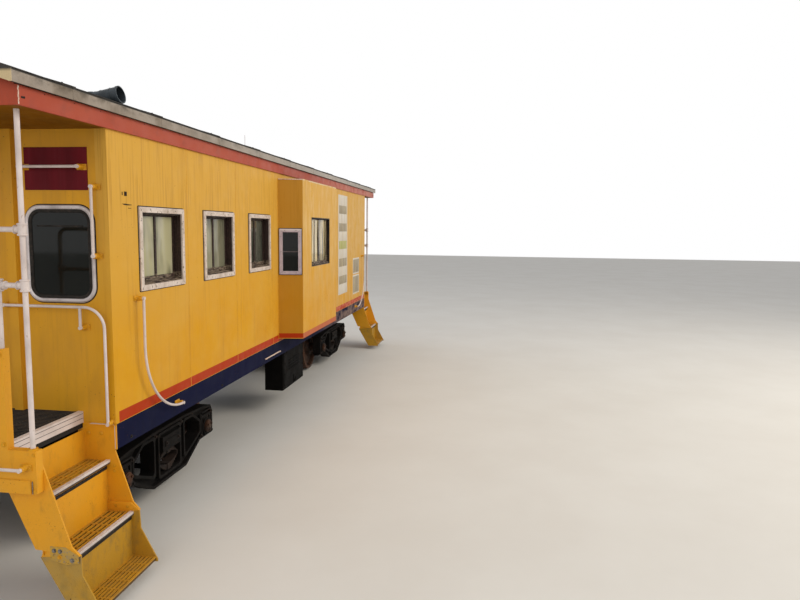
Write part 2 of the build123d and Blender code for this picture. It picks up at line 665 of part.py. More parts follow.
# End doors: a leaf with a window, hinge knuckles on the inside and a lever on both faces
for end_name, end in ENDS:
    leaf_inner = HALF_LENGTH - WALL + LEAF_SETBACK
    with BuildPart() as door:
        with BuildSketch(Plane.YZ.offset(end * leaf_inner)):
            with Locations((0, DOOR_BOTTOM + DOOR_HEIGHT / 2)):
                RectangleRounded(DOOR_WIDTH - 2 * DOOR_GAP, DOOR_HEIGHT, DOOR_CORNER)
            with Locations((0, DOOR_WINDOW_Z)):
                RectangleRounded(DOOR_WINDOW_WIDTH, DOOR_WINDOW_HEIGHT, PANE_CORNER, mode=Mode.SUBTRACT)
        extrude(amount=end * DOOR_THICKNESS)
        with BuildSketch(Plane.YZ.offset(end * (leaf_inner + DOOR_THICKNESS))):
            with Locations((0, DOOR_PANEL_Z)):
                RectangleRounded(DOOR_WINDOW_WIDTH, DOOR_WINDOW_HEIGHT, PANE_CORNER)
        extrude(amount=-end * DOOR_REBATE, mode=Mode.SUBTRACT)
        for z in HINGE_ZS:
            with BuildSketch(Plane.XY.offset(z - HINGE_LENGTH / 2)):
                with Locations((end * HINGE_X, end * HINGE_Y)):
                    Circle(HINGE_RADIUS)
                with Locations((end * (leaf_inner - HINGE_ARM / 2), end * (HINGE_Y - 25))):
                    Rectangle(HINGE_ARM, 30)
                with Locations((end * HINGE_X, end * (HINGE_Y - 12))):
                    Rectangle(HINGE_RADIUS, 24)
                with Locations((end * HINGE_X, end * HINGE_Y)):
                    Circle(HINGE_PIN + JOURNAL_CLEARANCE, mode=Mode.SUBTRACT)
            extrude(amount=HINGE_LENGTH)
        for face, outward in ((leaf_inner, -end), (leaf_inner + DOOR_THICKNESS, end)):
            with BuildSketch(Plane.YZ.offset(end * face)):
                with Locations((-end * SPINDLE_Y, LATCH_Z)):
                    Circle(SPINDLE_RADIUS)
            extrude(amount=outward * SPINDLE_LENGTH)
            lever_x = end * face + outward * (SPINDLE_LENGTH - SPINDLE_RADIUS)
            with BuildSketch(Plane.YZ.offset(lever_x)):
                with Locations((-end * (SPINDLE_Y - LEVER_SHIFT), LATCH_Z)):
                    SlotOverall(LEVER_LENGTH, LEVER_WIDTH)
            extrude(amount=outward * LEVER_THICKNESS)
    door.part.label = f"door_{end_name}"
    export_step(door.part, f"parts/door_{end_name}.step")
    with BuildPart() as door_glass:
        with BuildSketch(Plane.YZ.offset(end * (leaf_inner + DOOR_THICKNESS / 2 - GLASS / 2))):
            with Locations((0, DOOR_WINDOW_Z)):
                RectangleRounded(DOOR_WINDOW_WIDTH, DOOR_WINDOW_HEIGHT, PANE_CORNER)
        extrude(amount=end * GLASS)
    door_glass.part.label = f"door_glass_{end_name}"
    export_step(door_glass.part, f"parts/door_glass_{end_name}.step")

# Roof: an arched shell with seam caps, a vertical edge along both eaves and a drip edge over both ends
with BuildPart() as roof:
    with BuildSketch(Plane.YZ.offset(-ROOF_END)):
        lip = ROOF_HALF - FASCIA_THICKNESS
        lip_top = roof_height(lip, ROOF_THICKNESS)
        with BuildLine():
            ThreePointArc((-ROOF_HALF, ROOF_EDGE_TOP), (0, CROWN), (ROOF_HALF, ROOF_EDGE_TOP))
            Polyline((ROOF_HALF, ROOF_EDGE_TOP), (ROOF_HALF, FASCIA_TOP), (lip, FASCIA_TOP), (lip, lip_top))
            ThreePointArc((lip, lip_top), (0, CROWN - ROOF_THICKNESS), (-lip, lip_top))
            Polyline(
                (-lip, lip_top), (-lip, FASCIA_TOP), (-ROOF_HALF, FASCIA_TOP), (-ROOF_HALF, ROOF_EDGE_TOP)
            )
        make_face()
    extrude(amount=2 * ROOF_END)
    for name, end in ENDS:
        with BuildSketch(Plane.YZ.offset(end * ROOF_END)):
            low = roof_height(lip, HOOD_DRIP)
            high = roof_height(lip, ROOF_THICKNESS / 2)
            with BuildLine():
                ThreePointArc((-lip, high), (0, CROWN - ROOF_THICKNESS / 2), (lip, high))
                Line((lip, high), (lip, low))
                ThreePointArc((lip, low), (0, CROWN - HOOD_DRIP), (-lip, low))
                Line((-lip, low), (-lip, high))
            make_face()
        extrude(amount=-end * FASCIA_THICKNESS)
    for seam in range(SEAM_COUNT):
        x = (seam - (SEAM_COUNT - 1) / 2) * 2 * ROOF_END / SEAM_COUNT
        low = ROOF_EDGE_TOP - SEAM_RISE
        high = ROOF_EDGE_TOP + SEAM_RISE
        with BuildSketch(Plane.YZ.offset(x - SEAM_WIDTH / 2)):
            with BuildLine():
                ThreePointArc((-ROOF_HALF, low), (0, CROWN - SEAM_RISE), (ROOF_HALF, low))
                Line((ROOF_HALF, low), (ROOF_HALF, high))
                ThreePointArc((ROOF_HALF, high), (0, CROWN + SEAM_RISE), (-ROOF_HALF, high))
                Line((-ROOF_HALF, high), (-ROOF_HALF, low))
            make_face()
        extrude(amount=SEAM_WIDTH)
roof.part.label = "roof"
export_step(roof.part, "parts/roof.step")

# Fascia: flat bands under both eaves and an arched header at each end
with BuildPart() as fascia:
    with BuildSketch(Plane.XY.offset(EAVE)):
        Rectangle(2 * HOOD_END, BODY_WIDTH + 2 * FASCIA_THICKNESS)
        Rectangle(2 * HOOD_END, BODY_WIDTH, mode=Mode.SUBTRACT)
    extrude(amount=FASCIA_HEIGHT)
    for name, end in ENDS:
        with BuildSketch(Plane.YZ.offset(end * HOOD_END)):
            edge = roof_height(HALF_WIDTH, ROOF_THICKNESS)
            with BuildLine():
                Polyline((-HALF_WIDTH, edge), (-HALF_WIDTH, EAVE), (HALF_WIDTH, EAVE), (HALF_WIDTH, edge))
                ThreePointArc((HALF_WIDTH, edge), (0, CROWN - ROOF_THICKNESS), (-HALF_WIDTH, edge))
            make_face()
        extrude(amount=-end * FASCIA_THICKNESS)
fascia.part.label = "fascia"
export_step(fascia.part, "parts/fascia.step")

ceiling_length = HOOD_END - FASCIA_THICKNESS - HALF_LENGTH
with BuildPart() as platform_ceilings:
    with BuildSketch(Plane.XY.offset(EAVE)):
        for name, end in ENDS:
            with Locations((end * (HALF_LENGTH + ceiling_length / 2), 0)):
                Rectangle(ceiling_length, BODY_WIDTH)
    extrude(amount=CEILING_THICKNESS)
platform_ceilings.part.label = "platform_ceilings"
export_step(platform_ceilings.part, "parts/platform_ceilings.step")


def ring(plane, width, height, border, depth, foot=0):
    """A rectangular ring running into the wall by depth, its bottom bar higher by foot."""
    with BuildSketch(plane) as face:
        Rectangle(width, height)
        with Locations((0, foot / 2)):
            Rectangle(width - 2 * border, height - 2 * border - foot, mode=Mode.SUBTRACT)
    extrude(face.sketch, amount=-depth)


def sash(plane, width, height, setback):
    """A dark lining with two tracks, and behind them the sash with its meeting rail."""
    ring(plane, width, height, LINING, setback)
    for depth in (setback / 3, 2 * setback / 3):
        ring(plane.offset(-depth), width, height, LINING + TRACK, TRACK)
    ring(plane.offset(-setback), width, height, SASH_WIDTH, SASH_DEPTH, SASH_FOOT)
    with BuildSketch(plane.offset(-setback)) as rail:
        Rectangle(SASH_WIDTH, height)
    extrude(rail.sketch, amount=-(SASH_DEPTH - GLASS) / 2)


def sash_glass(plane, width, height, setback):
    """The glass in the middle of a sash's depth."""
    with BuildSketch(plane.offset(-setback - (SASH_DEPTH - GLASS) / 2)) as face:
        with Locations((0, SASH_FOOT / 2)):
            Rectangle(width - 2 * SASH_WIDTH, height - 2 * SASH_WIDTH - SASH_FOOT)
    extrude(face.sketch, amount=-GLASS)


def window_frame(plane, width, height, depth):
    """A flange on the wall's outer face and a sleeve into the wall."""
    clear_width = width - 2 * WINDOW_FRAME
    clear_height = height - 2 * WINDOW_FRAME
    ring(plane, width, height, WINDOW_FRAME, -WINDOW_PROUD)
    ring(plane, clear_width + 2 * OPENING_MARGIN, clear_height + 2 * OPENING_MARGIN, OPENING_MARGIN, depth)


with BuildPart() as side_window_frames:
    for plane, width, height in side_windows():
        window_frame(plane, width, height, WALL)
side_window_frames.part.label = "side_window_frames"
export_step(side_window_frames.part, "parts/side_window_frames.step")

with BuildPart() as window_sashes:
    for plane, width, height in side_windows():
        sash(plane, width - 2 * WINDOW_FRAME, height - 2 * WINDOW_FRAME, WINDOW_SETBACK)
    for plane, width, height in flat_bay_windows():
        sash(plane, width, height, BAY_WINDOW_SETBACK)
window_sashes.part.label = "window_sashes"
export_step(window_sashes.part, "parts/window_sashes.step")

# Frames of the slanted bay windows, each with a thin level rail
with BuildPart() as bay_window_frames:
    for name, side in SIDES:
        for plane, width, height in slanted_bay_windows(side):
            window_frame(plane, width, height, SASH_DEPTH)
            with BuildSketch(plane):
                Rectangle(width - 2 * WINDOW_FRAME + OPENING_MARGIN, SLANT_RAIL)
            extrude(amount=-(SASH_DEPTH - GLASS) / 2)
bay_window_frames.part.label = "bay_window_frames"
export_step(bay_window_frames.part, "parts/bay_window_frames.step")

CURTAIN_THICKNESS = 16
CURTAIN_GAP = 14
CURTAIN_SPREAD = 500
CURTAIN_TOP = 90
CURTAIN_DROP = 800
CURTAIN_PART = 20
ROD_RADIUS = 6
ROD_REACH = 40

# Curtains behind the flat bay windows: two closed cloths on a rod held by brackets at both ends
with BuildPart() as bay_curtains:
    for name, side in SIDES:
        inner_face = side * (HALF_WIDTH + BAY_DEPTH - BAY_WALL)
        cloth_y = inner_face - side * (CURTAIN_GAP + CURTAIN_THICKNESS / 2)
        rod_z = RAIL_TOP + BAY_WINDOW[3] + BAY_WINDOW[2] / 2 + CURTAIN_TOP
        with BuildSketch(Plane.XY.offset(rod_z - CURTAIN_DROP)):
            for half in (-1, 1):
                middle = half * (CURTAIN_SPREAD + CURTAIN_PART / 2) / 2
                with Locations((BAY_WINDOW[0] + middle, cloth_y)):
                    Rectangle(CURTAIN_SPREAD - CURTAIN_PART / 2, CURTAIN_THICKNESS)
        extrude(amount=CURTAIN_DROP)
        for half in (-1, 1):
            x = BAY_WINDOW[0] + half * (CURTAIN_SPREAD + ROD_REACH)
            with BuildSketch(Plane.XY.offset(rod_z - 2 * ROD_RADIUS)):
                with Locations((x, (inner_face + cloth_y) / 2)):
                    Rectangle(2 * ROD_RADIUS, abs(inner_face - cloth_y))
            extrude(amount=4 * ROD_RADIUS)
        with BuildSketch(Plane.YZ.offset(BAY_WINDOW[0] - CURTAIN_SPREAD - ROD_REACH)):
            with Locations((cloth_y, rod_z)):
                Circle(ROD_RADIUS)
        extrude(amount=2 * (CURTAIN_SPREAD + ROD_REACH))
bay_curtains.part.label = "bay_curtains"
export_step(bay_curtains.part, "parts/bay_curtains.step")


def end_window_planes():
    """Planes at the middle of each round-cornered end window, facing out."""
    for name, end in ENDS:
        for side in (-1, 1):
            point = (end * HALF_LENGTH, side * END_WINDOW_Y, RAIL_TOP + END_WINDOW_Z)
            yield wall_plane(point, (end, 0, 0))


with BuildPart() as end_window_rings:
    for plane in end_window_planes():
        with BuildSketch(plane):
            RectangleRounded(
                END_WINDOW_WIDTH + 2 * OPENING_MARGIN,
                END_WINDOW_HEIGHT + 2 * OPENING_MARGIN,
                END_WINDOW_CORNER + 2 * OPENING_MARGIN,
            )
            RectangleRounded(
                END_WINDOW_WIDTH - 2 * END_RING,
                END_WINDOW_HEIGHT - 2 * END_RING,
                END_WINDOW_CORNER - END_RING + OPENING_MARGIN,
                mode=Mode.SUBTRACT,
            )
        extrude(amount=WINDOW_PROUD)
end_window_rings.part.label = "end_window_rings"
export_step(end_window_rings.part, "parts/end_window_rings.step")

# Fixed window glass, one pane in each opening
with BuildPart() as window_glass:
    for plane, width, height in side_windows():
        sash_glass(plane, width - 2 * WINDOW_FRAME, height - 2 * WINDOW_FRAME, WINDOW_SETBACK)
    for plane, width, height in flat_bay_windows():
        sash_glass(plane, width, height, BAY_WINDOW_SETBACK)
    for name, side in SIDES:
        for plane, width, height in slanted_bay_windows(side):
            with BuildSketch(plane.offset(-(SASH_DEPTH + GLASS) / 2)):
                Rectangle(width - 2 * WINDOW_FRAME, height - 2 * WINDOW_FRAME)
            extrude(amount=GLASS)
    for plane in end_window_planes():
        with BuildSketch(plane.offset(-GLASS)):
            RectangleRounded(
                END_WINDOW_WIDTH - 2 * OPENING_MARGIN,
                END_WINDOW_HEIGHT - 2 * OPENING_MARGIN,
                END_WINDOW_CORNER,
            )
        extrude(amount=GLASS)
window_glass.part.label = "window_glass"
export_step(window_glass.part, "parts/window_glass.step")

STANCHION_X = SILL_FACE - 32
STANCHION_Y = 1320
UPPER_RAIL = RAIL_TOP + 2649
LOWER_RAIL = RAIL_TOP + 2290
INNER_POST_Y = 430
ELBOW = 70
FITTING_RADIUS = 26
FITTING_LENGTH = 70
FLANGE_RADIUS = 31


def pipe(path, radius):
    """Sweep a round bar along a wire."""
    with BuildSketch(Plane(origin=path @ 0, z_dir=path % 0)) as bar:
        Circle(radius)
    sweep(bar.sketch, path=path)


def arm(start, finish, radius):
    """A straight round bar from one point to another."""
    run = Vector(*finish) - Vector(*start)
    with BuildSketch(Plane(origin=start, z_dir=run)) as bar:
        Circle(radius)
    extrude(bar.sketch, amount=run.length)


# End railings: corner stanchions up to the ceiling and a two-rail loop on each side of the gangway
for end_name, end in ENDS:
    with BuildPart() as end_railing:
        x = end * STANCHION_X
        for side in (-1, 1):
            y = side * STANCHION_Y
            arm((x, y, END_SILL_TOP), (x, y, EAVE), RAIL_PIPE)
            arm((x, y, END_SILL_TOP), (x, y, END_SILL_TOP + PLATE), FLANGE_RADIUS)
            inner = side * INNER_POST_Y
            with BuildLine(Plane.YZ.offset(x)) as loop:
                FilletPolyline((y, UPPER_RAIL), (inner, UPPER_RAIL), (inner, END_SILL_TOP), radius=ELBOW)
            pipe(loop.wires()[0], RAIL_PIPE)
            arm((x, y, LOWER_RAIL), (x, inner, LOWER_RAIL), RAIL_PIPE)
            post = side * POST_Y
            arm((x, post, POST_TOP), (x, post, LOWER_RAIL), RAIL_PIPE)
            for rail in (UPPER_RAIL, LOWER_RAIL):
                low = rail - FITTING_LENGTH / 2
                arm((x, y, low), (x, y, low + FITTING_LENGTH), FITTING_RADIUS)
            for fitting in (post, inner):
                low = LOWER_RAIL - FITTING_LENGTH / 2
                arm((x, fitting, low), (x, fitting, low + FITTING_LENGTH), FITTING_RADIUS)
            arm((x, inner, END_SILL_TOP), (x, inner, END_SILL_TOP + PLATE), FLANGE_RADIUS)
    end_railing.part.label = f"end_railing_{end_name}"
    export_step(end_railing.part, f"parts/end_railing_{end_name}.step")

GRAB_OFFSET = 65
BIG_RAIL_Z = RAIL_TOP + 2061
BIG_RAIL_START = 553
BIG_RAIL_Y = 1388
BIG_RAIL_BEND = 165
BIG_RAIL_STUB = 1190
STUB_FOOT = BIG_RAIL_Z - 160
WALL_GRAB_Y = 1318
WALL_GRAB_ZS = (RAIL_TOP + 2450, RAIL_TOP + 2969)
PANEL_GRAB_Z = RAIL_TOP + 3117
PANEL_GRAB_YS = (735, 1212)
LUG = 14

# Handrails on the end walls: the bent side rail, the upright grab iron and the level one on the panel
with BuildPart() as end_handrails:
    for name, end in ENDS:
        wall = end * HALF_LENGTH
        x = end * (HALF_LENGTH + GRAB_OFFSET)
        for side in (-1, 1):
            start = side * BIG_RAIL_START
            outer = side * BIG_RAIL_Y
            foot = FLOOR_TOP + LUG
            with BuildLine(Plane.YZ.offset(x)) as rail:
                FilletPolyline((start, BIG_RAIL_Z), (outer, BIG_RAIL_Z), (outer, foot), radius=BIG_RAIL_BEND)
            pipe(rail.wires()[0], GRAB_PIPE)
            arm((wall + end * CORNER_LIP, outer, foot), (x + end * GRAB_PIPE, outer, foot), LUG)
            arm((wall, start, BIG_RAIL_Z), (x + end * GRAB_PIPE, start, BIG_RAIL_Z), LUG)
            stub = side * BIG_RAIL_STUB
            arm((x, stub, BIG_RAIL_Z), (x, stub, STUB_FOOT), GRAB_PIPE)
            arm((wall, stub, STUB_FOOT), (x + end * GRAB_PIPE, stub, STUB_FOOT), LUG)
            low, high = WALL_GRAB_ZS
            y = side * WALL_GRAB_Y
            arm((x, y, low), (x, y, high), GRAB_PIPE)
            near, far = PANEL_GRAB_YS
            arm((x, side * near, PANEL_GRAB_Z), (x, side * far, PANEL_GRAB_Z), GRAB_PIPE)
            lugs = [(y, low), (y, high), (side * near, PANEL_GRAB_Z), (side * far, PANEL_GRAB_Z)]
            for lug_y, lug_z in lugs:
                arm((wall, lug_y, lug_z), (x + end * GRAB_PIPE, lug_y, lug_z), LUG)
end_handrails.part.label = "end_handrails"
export_step(end_handrails.part, "parts/end_handrails.step")

SIDE_RAIL_X = HALF_LENGTH - 340
SIDE_RAIL_TOP = RAIL_TOP + 2095
SIDE_RAIL_SWEEP = 640
SIDE_RAIL_FOOT = RAIL_TOP + 1060

# Curved handrails on the body sides, from an upper lug down to a foot on the side sill
with BuildPart() as side_handrails:
    for name, end in ENDS:
        for side in (-1, 1):
            y = side * (HALF_WIDTH + GRAB_OFFSET)
            x = end * SIDE_RAIL_X
            centre = end * (SIDE_RAIL_X - SIDE_RAIL_SWEEP)
            turn = SIDE_RAIL_FOOT + SIDE_RAIL_SWEEP
            with BuildLine(Plane.XZ.offset(-y)) as rail:
                Line((x, SIDE_RAIL_TOP), (x, turn))
                JernArc((x, turn), (0, -1), SIDE_RAIL_SWEEP, -end * 90)
            pipe(rail.wires()[0], GRAB_PIPE)
            for lug_x, lug_z in ((x, SIDE_RAIL_TOP), (centre, SIDE_RAIL_FOOT)):
                arm((lug_x, side * HALF_WIDTH, lug_z), (lug_x, y + side * GRAB_PIPE, lug_z), LUG)
side_handrails.part.label = "side_handrails"
export_step(side_handrails.part, "parts/side_handrails.step")

PANEL_WIDTH = 520
PANEL_HEIGHT = 320
PANEL_THICKNESS = 5
PANEL_Y = 996
PANEL_Z = RAIL_TOP + 3105
with BuildPart() as end_panels:
    for name, end in ENDS:
        with BuildSketch(Plane.YZ.offset(end * HALF_LENGTH)):
            with Locations((-PANEL_Y, PANEL_Z), (PANEL_Y, PANEL_Z)):
                Rectangle(PANEL_WIDTH, PANEL_HEIGHT)
            for side in (-1, 1):
                for y in PANEL_GRAB_YS:
                    with Locations((side * y, PANEL_GRAB_Z)):
                        Circle(LUG + 1, mode=Mode.SUBTRACT)
        extrude(amount=end * PANEL_THICKNESS)
end_panels.part.label = "end_panels"
export_step(end_panels.part, "parts/end_panels.step")

SILL_GRAB_Z = END_SILL_TOP - 110
SILL_GRAB_YS = (820, 1290)
# Grab irons on the end sills
with BuildPart() as sill_irons:
    for name, end in ENDS:
        for side in (-1, 1):
            x = end * (SILL_FACE + GRAB_OFFSET)
            near, far = SILL_GRAB_YS
            arm((x, side * near, SILL_GRAB_Z), (x, side * far, SILL_GRAB_Z), GRAB_PIPE)
            for y in SILL_GRAB_YS:
                tip = (x + end * GRAB_PIPE, side * y, SILL_GRAB_Z)
                arm((end * SILL_FACE, side * y, SILL_GRAB_Z), tip, LUG)
sill_irons.part.label = "sill_irons"
export_step(sill_irons.part, "parts/sill_irons.step")

BRAKE_Y = 780
BRAKE_Z = RAIL_TOP + 2020
BRAKE_WIDTH = 260
BRAKE_HEIGHT = 330
BRAKE_DEPTH = 110
BRAKE_PLATE = 8
WHEEL_RIM = 270
RIM_BAR = 12
SPOKES = 5
STAND_FOOT = 200
STAND_HALF = 130
STAND_SHOULDER = BRAKE_Z - 200
HOUSING_CORNER = 60
HOUSING_TAPER = 6
ROD_DROP = 120
ROD_SETBACK = 60
HUB_RADIUS = 38
HUB_LENGTH = 55
RIM_OFFSET = 30

# Hand brake housings, each on a stand plate behind the railing's left half
with BuildPart() as brake_housings:
    for name, end in ENDS:
        y = -end * BRAKE_Y
        plate_face = STANCHION_X - RAIL_PIPE
        with BuildSketch(Plane.YZ.offset(end * (plate_face - BRAKE_PLATE))):
            with BuildLine():
                Polyline(
                    (y - STAND_FOOT, END_SILL_TOP),
                    (y + STAND_FOOT, END_SILL_TOP),
                    (y + STAND_HALF, STAND_SHOULDER),
                    (y + STAND_HALF, LOWER_RAIL + RAIL_PIPE),
                    (y - STAND_HALF, LOWER_RAIL + RAIL_PIPE),
                    (y - STAND_HALF, STAND_SHOULDER),
                    close=True,
                )
            make_face()
        extrude(amount=end * BRAKE_PLATE)
        with BuildSketch(Plane.YZ.offset(end * (plate_face - BRAKE_PLATE))):
            with Locations((y, BRAKE_Z)):
                RectangleRounded(BRAKE_WIDTH, BRAKE_HEIGHT, HOUSING_CORNER)
        extrude(amount=-end * BRAKE_DEPTH, taper=HOUSING_TAPER)
        rod_x = end * (plate_face - ROD_SETBACK)
        arm((rod_x, y, BRAKE_Z - ROD_DROP), (rod_x, y, DECK_TOP), GRAB_PIPE)
brake_housings.part.label = "brake_housings"
export_step(brake_housings.part, "parts/brake_housings.step")

with BuildPart() as brake_wheels:
    for name, end in ENDS:
        face = STANCHION_X - RAIL_PIPE - BRAKE_PLATE - BRAKE_DEPTH
        y = -end * BRAKE_Y
        hub = Plane(origin=(end * face, y, BRAKE_Z), x_dir=(0, 1, 0), z_dir=(-end, 0, 0))
        with BuildSketch(hub):
            Circle(HUB_RADIUS)
        extrude(amount=HUB_LENGTH)
        with BuildSketch(Plane(origin=hub.origin, x_dir=(-end, 0, 0), z_dir=(0, 0, 1))):
            with Locations((RIM_OFFSET, -WHEEL_RIM), (RIM_OFFSET, WHEEL_RIM)):
                Circle(RIM_BAR)
            with Locations((0, -WHEEL_RIM)):
                Rectangle(4 * WHEEL_RIM, 2 * WHEEL_RIM, mode=Mode.SUBTRACT)
        revolve(axis=Axis(hub.origin, (1, 0, 0)))
        for spoke in range(SPOKES):
            angle = math.radians(90 + spoke * 360 / SPOKES)
            reach = (math.cos(angle) * WHEEL_RIM, math.sin(angle) * WHEEL_RIM)
            tip = (end * (face - RIM_OFFSET), y + reach[0], BRAKE_Z + reach[1])
            arm((end * (face - HUB_LENGTH + RIM_BAR), y, BRAKE_Z), tip, GRAB_PIPE)
brake_wheels.part.label = "brake_wheels"
export_step(brake_wheels.part, "parts/brake_wheels.step")

STACK_X = -3440
STACK_Y = -500
STACK_RADIUS = 75
STACK_BORE = 66
STACK_RISE = 150
STACK_LEFT = -130
STACK_RIGHT = 370
STACK_SLOPE = 0.14
STACK_FLANGE = 45
FLANGE_HEIGHT = 25
# Smokejack: a short upright with a long, slightly rising open tube across its top
with BuildPart() as smokejack:
    base = roof_height(abs(STACK_Y) + STACK_RADIUS, 0)
    crown = roof_height(abs(STACK_Y), 0) + STACK_RISE
    arm((STACK_X, STACK_Y, base), (STACK_X, STACK_Y, crown), STACK_RADIUS)
    left = (STACK_X + STACK_LEFT, STACK_Y, crown)
    mouth = (STACK_X + STACK_RIGHT, STACK_Y, crown + (STACK_RIGHT - STACK_LEFT) * STACK_SLOPE)
    arm(left, mouth, STACK_RADIUS)
    arm((STACK_X, STACK_Y, base), (STACK_X, STACK_Y, base + FLANGE_HEIGHT), STACK_RADIUS + STACK_FLANGE)
    inward = Vector(*left) - Vector(*mouth)
    with BuildSketch(Plane(origin=mouth, z_dir=inward), mode=Mode.PRIVATE) as bore:
        Circle(STACK_BORE)
    extrude(bore.sketch, amount=0.6 * inward.length, mode=Mode.SUBTRACT)
    with BuildSketch(Plane.YZ.offset(STACK_X - 2 * STACK_RADIUS)):
        with BuildLine():
            edge = roof_height(ROOF_HALF, 0)
            low = edge - 2 * ROOF_THICKNESS
            ThreePointArc((-ROOF_HALF, edge), (0, CROWN), (ROOF_HALF, edge))
            Polyline((ROOF_HALF, edge), (ROOF_HALF, low), (-ROOF_HALF, low), (-ROOF_HALF, edge))
        make_face()
    extrude(amount=4 * STACK_RADIUS, mode=Mode.SUBTRACT)
smokejack.part.label = "smokejack"
export_step(smokejack.part, "parts/smokejack.step")

ANTENNA_X = 1500
ANTENNA_HEIGHT = 420
ANTENNA_BASE = 30
WHIP_RADIUS = 4
with BuildPart() as antenna:
    arm((ANTENNA_X, 0, CROWN), (ANTENNA_X, 0, CROWN + ANTENNA_BASE), ANTENNA_BASE)
    arm((ANTENNA_X, 0, CROWN), (ANTENNA_X, 0, CROWN + ANTENNA_HEIGHT), WHIP_RADIUS)
antenna.part.label = "antenna"
export_step(antenna.part, "parts/antenna.step")

BOX_XS = (-480, 530)
BOX_YS = (-1300, -1030)
BOX_BOTTOM = RAIL_TOP + 320
BOX_TOP = RAIL_TOP + 930
HANGER = 50
BOX_DOOR = 8
BOX_DOOR_MARGIN = 35
# Battery box with a raised door, hung from the floor under the right bay
with BuildPart() as battery_box:
    box_x = sum(BOX_XS) / 2
    box_y = sum(BOX_YS) / 2
    with BuildSketch(Plane.XY.offset(BOX_BOTTOM)):
        with Locations((box_x, box_y)):
            Rectangle(BOX_XS[1] - BOX_XS[0], BOX_YS[1] - BOX_YS[0])
    extrude(amount=BOX_TOP - BOX_BOTTOM)
    with BuildSketch(Plane.XZ.offset(-BOX_YS[0])):
        with Locations((box_x, (BOX_BOTTOM + BOX_TOP) / 2)):
            RectangleRounded(
                BOX_XS[1] - BOX_XS[0] - 2 * BOX_DOOR_MARGIN,
                BOX_TOP - BOX_BOTTOM - 2 * BOX_DOOR_MARGIN,
                BOX_DOOR,
            )
    extrude(amount=BOX_DOOR)
    with BuildSketch(Plane.XY.offset(BOX_TOP)):
        with Locations((BOX_XS[0] + HANGER, box_y), (BOX_XS[1] - HANGER, box_y)):
            Rectangle(HANGER, BOX_YS[1] - BOX_YS[0])
    extrude(amount=FLOOR_BOTTOM - BOX_TOP)
battery_box.part.label = "battery_box"
export_step(battery_box.part, "parts/battery_box.step")

TANK_RADIUS = 200
TANK_LENGTH = 1300
TANK_X = -200
TANK_Y = 880
TANK_Z = RAIL_TOP + 640
CYLINDER_RADIUS = 130
CYLINDER_LENGTH = 420
CYLINDER_X = 1400
DISH = 40
AIR_VESSELS = [  # middle along X, radius, length
    (TANK_X, TANK_RADIUS, TANK_LENGTH),
    (CYLINDER_X, CYLINDER_RADIUS, CYLINDER_LENGTH),
]
# Air reservoir and brake cylinder with domed ends, hung from the floor on the left side
with BuildPart() as air_brake_gear:
    for x, radius, length in AIR_VESSELS:
        with BuildSketch(Plane.XZ.offset(-TANK_Y)):
            with BuildLine():
                half = length / 2
                Line((x - half - DISH, TANK_Z), (x + half + DISH, TANK_Z))
                Spline(
                    (x + half + DISH, TANK_Z),
                    (x + half, TANK_Z + radius),
                    tangents=((0, 1), (-1, 0)),
                )
                Line((x + half, TANK_Z + radius), (x - half, TANK_Z + radius))
                Spline(
                    (x - half, TANK_Z + radius),
                    (x - half - DISH, TANK_Z),
                    tangents=((-1, 0), (0, -1)),
                )
            make_face()
        revolve(axis=Axis((x, TANK_Y, TANK_Z), (1, 0, 0)))
        for shift in (-length / 3, length / 3):
            with BuildSketch(Plane.XY.offset(TANK_Z)):
                with Locations((x + shift, TANK_Y)):
                    Rectangle(HANGER, 2 * radius - DISH)
            extrude(amount=FLOOR_BOTTOM - TANK_Z)
air_brake_gear.part.label = "air_brake_gear"
export_step(air_brake_gear.part, "parts/air_brake_gear.step")

HEAD_BACK = SILL_FACE + 95
HEAD_LENGTH = 330
PULL_FACE = HEAD_BACK + HEAD_LENGTH
PIN_SETBACK = 75
KNUCKLE_PIN_X = PULL_FACE - PIN_SETBACK
KNUCKLE_PIN_Y = 118
KNUCKLE_PIN_RADIUS = 21
PIN_HEAD = 14
LUG_HEIGHT = 42
SLOT_HEIGHT = HEAD_HEIGHT - 2 * LUG_HEIGHT
SLOT_LENGTH = 150
SLOT_WIDTH = 200
SLOT_SHIFT = 20
KNUCKLE_SLOT_GAP = 5
KNUCKLE_HEIGHT = SLOT_HEIGHT - 2 * KNUCKLE_SLOT_GAP
CASTING_EDGE = 11
HEAD_OUTLINE = [  # ahead of the pulling face, towards the knuckle's side
    (-HEAD_LENGTH, -120),
    (-HEAD_LENGTH, 120),
    (-135, 178),
    (-65, 178),
    (-23, 130),
    (-45, 75),
    (-130, 60),
    (-130, -100),
    (80, -200),
    (75, -245),
    (-110, -215),
]
KNUCKLE_OUTLINE = [  # ahead of the pulling face, towards the knuckle's side
    (-115, 108),
    (-110, 148),
    (-55, 166),
    (-5, 128),
    (0, 20),
    (-10, -45),
    (-50, -60),
    (-75, -25),
    (-85, 40),
]


def coupler_outline(end, points):
    """A rounded outline on the current sketch, turned half round at the other end of the caboose."""
    with BuildLine() as outline:
        FilletPolyline([(end * (PULL_FACE + x), end * y) for x, y in points], radius=CASTING_EDGE, close=True)
    make_face(outline.edges())


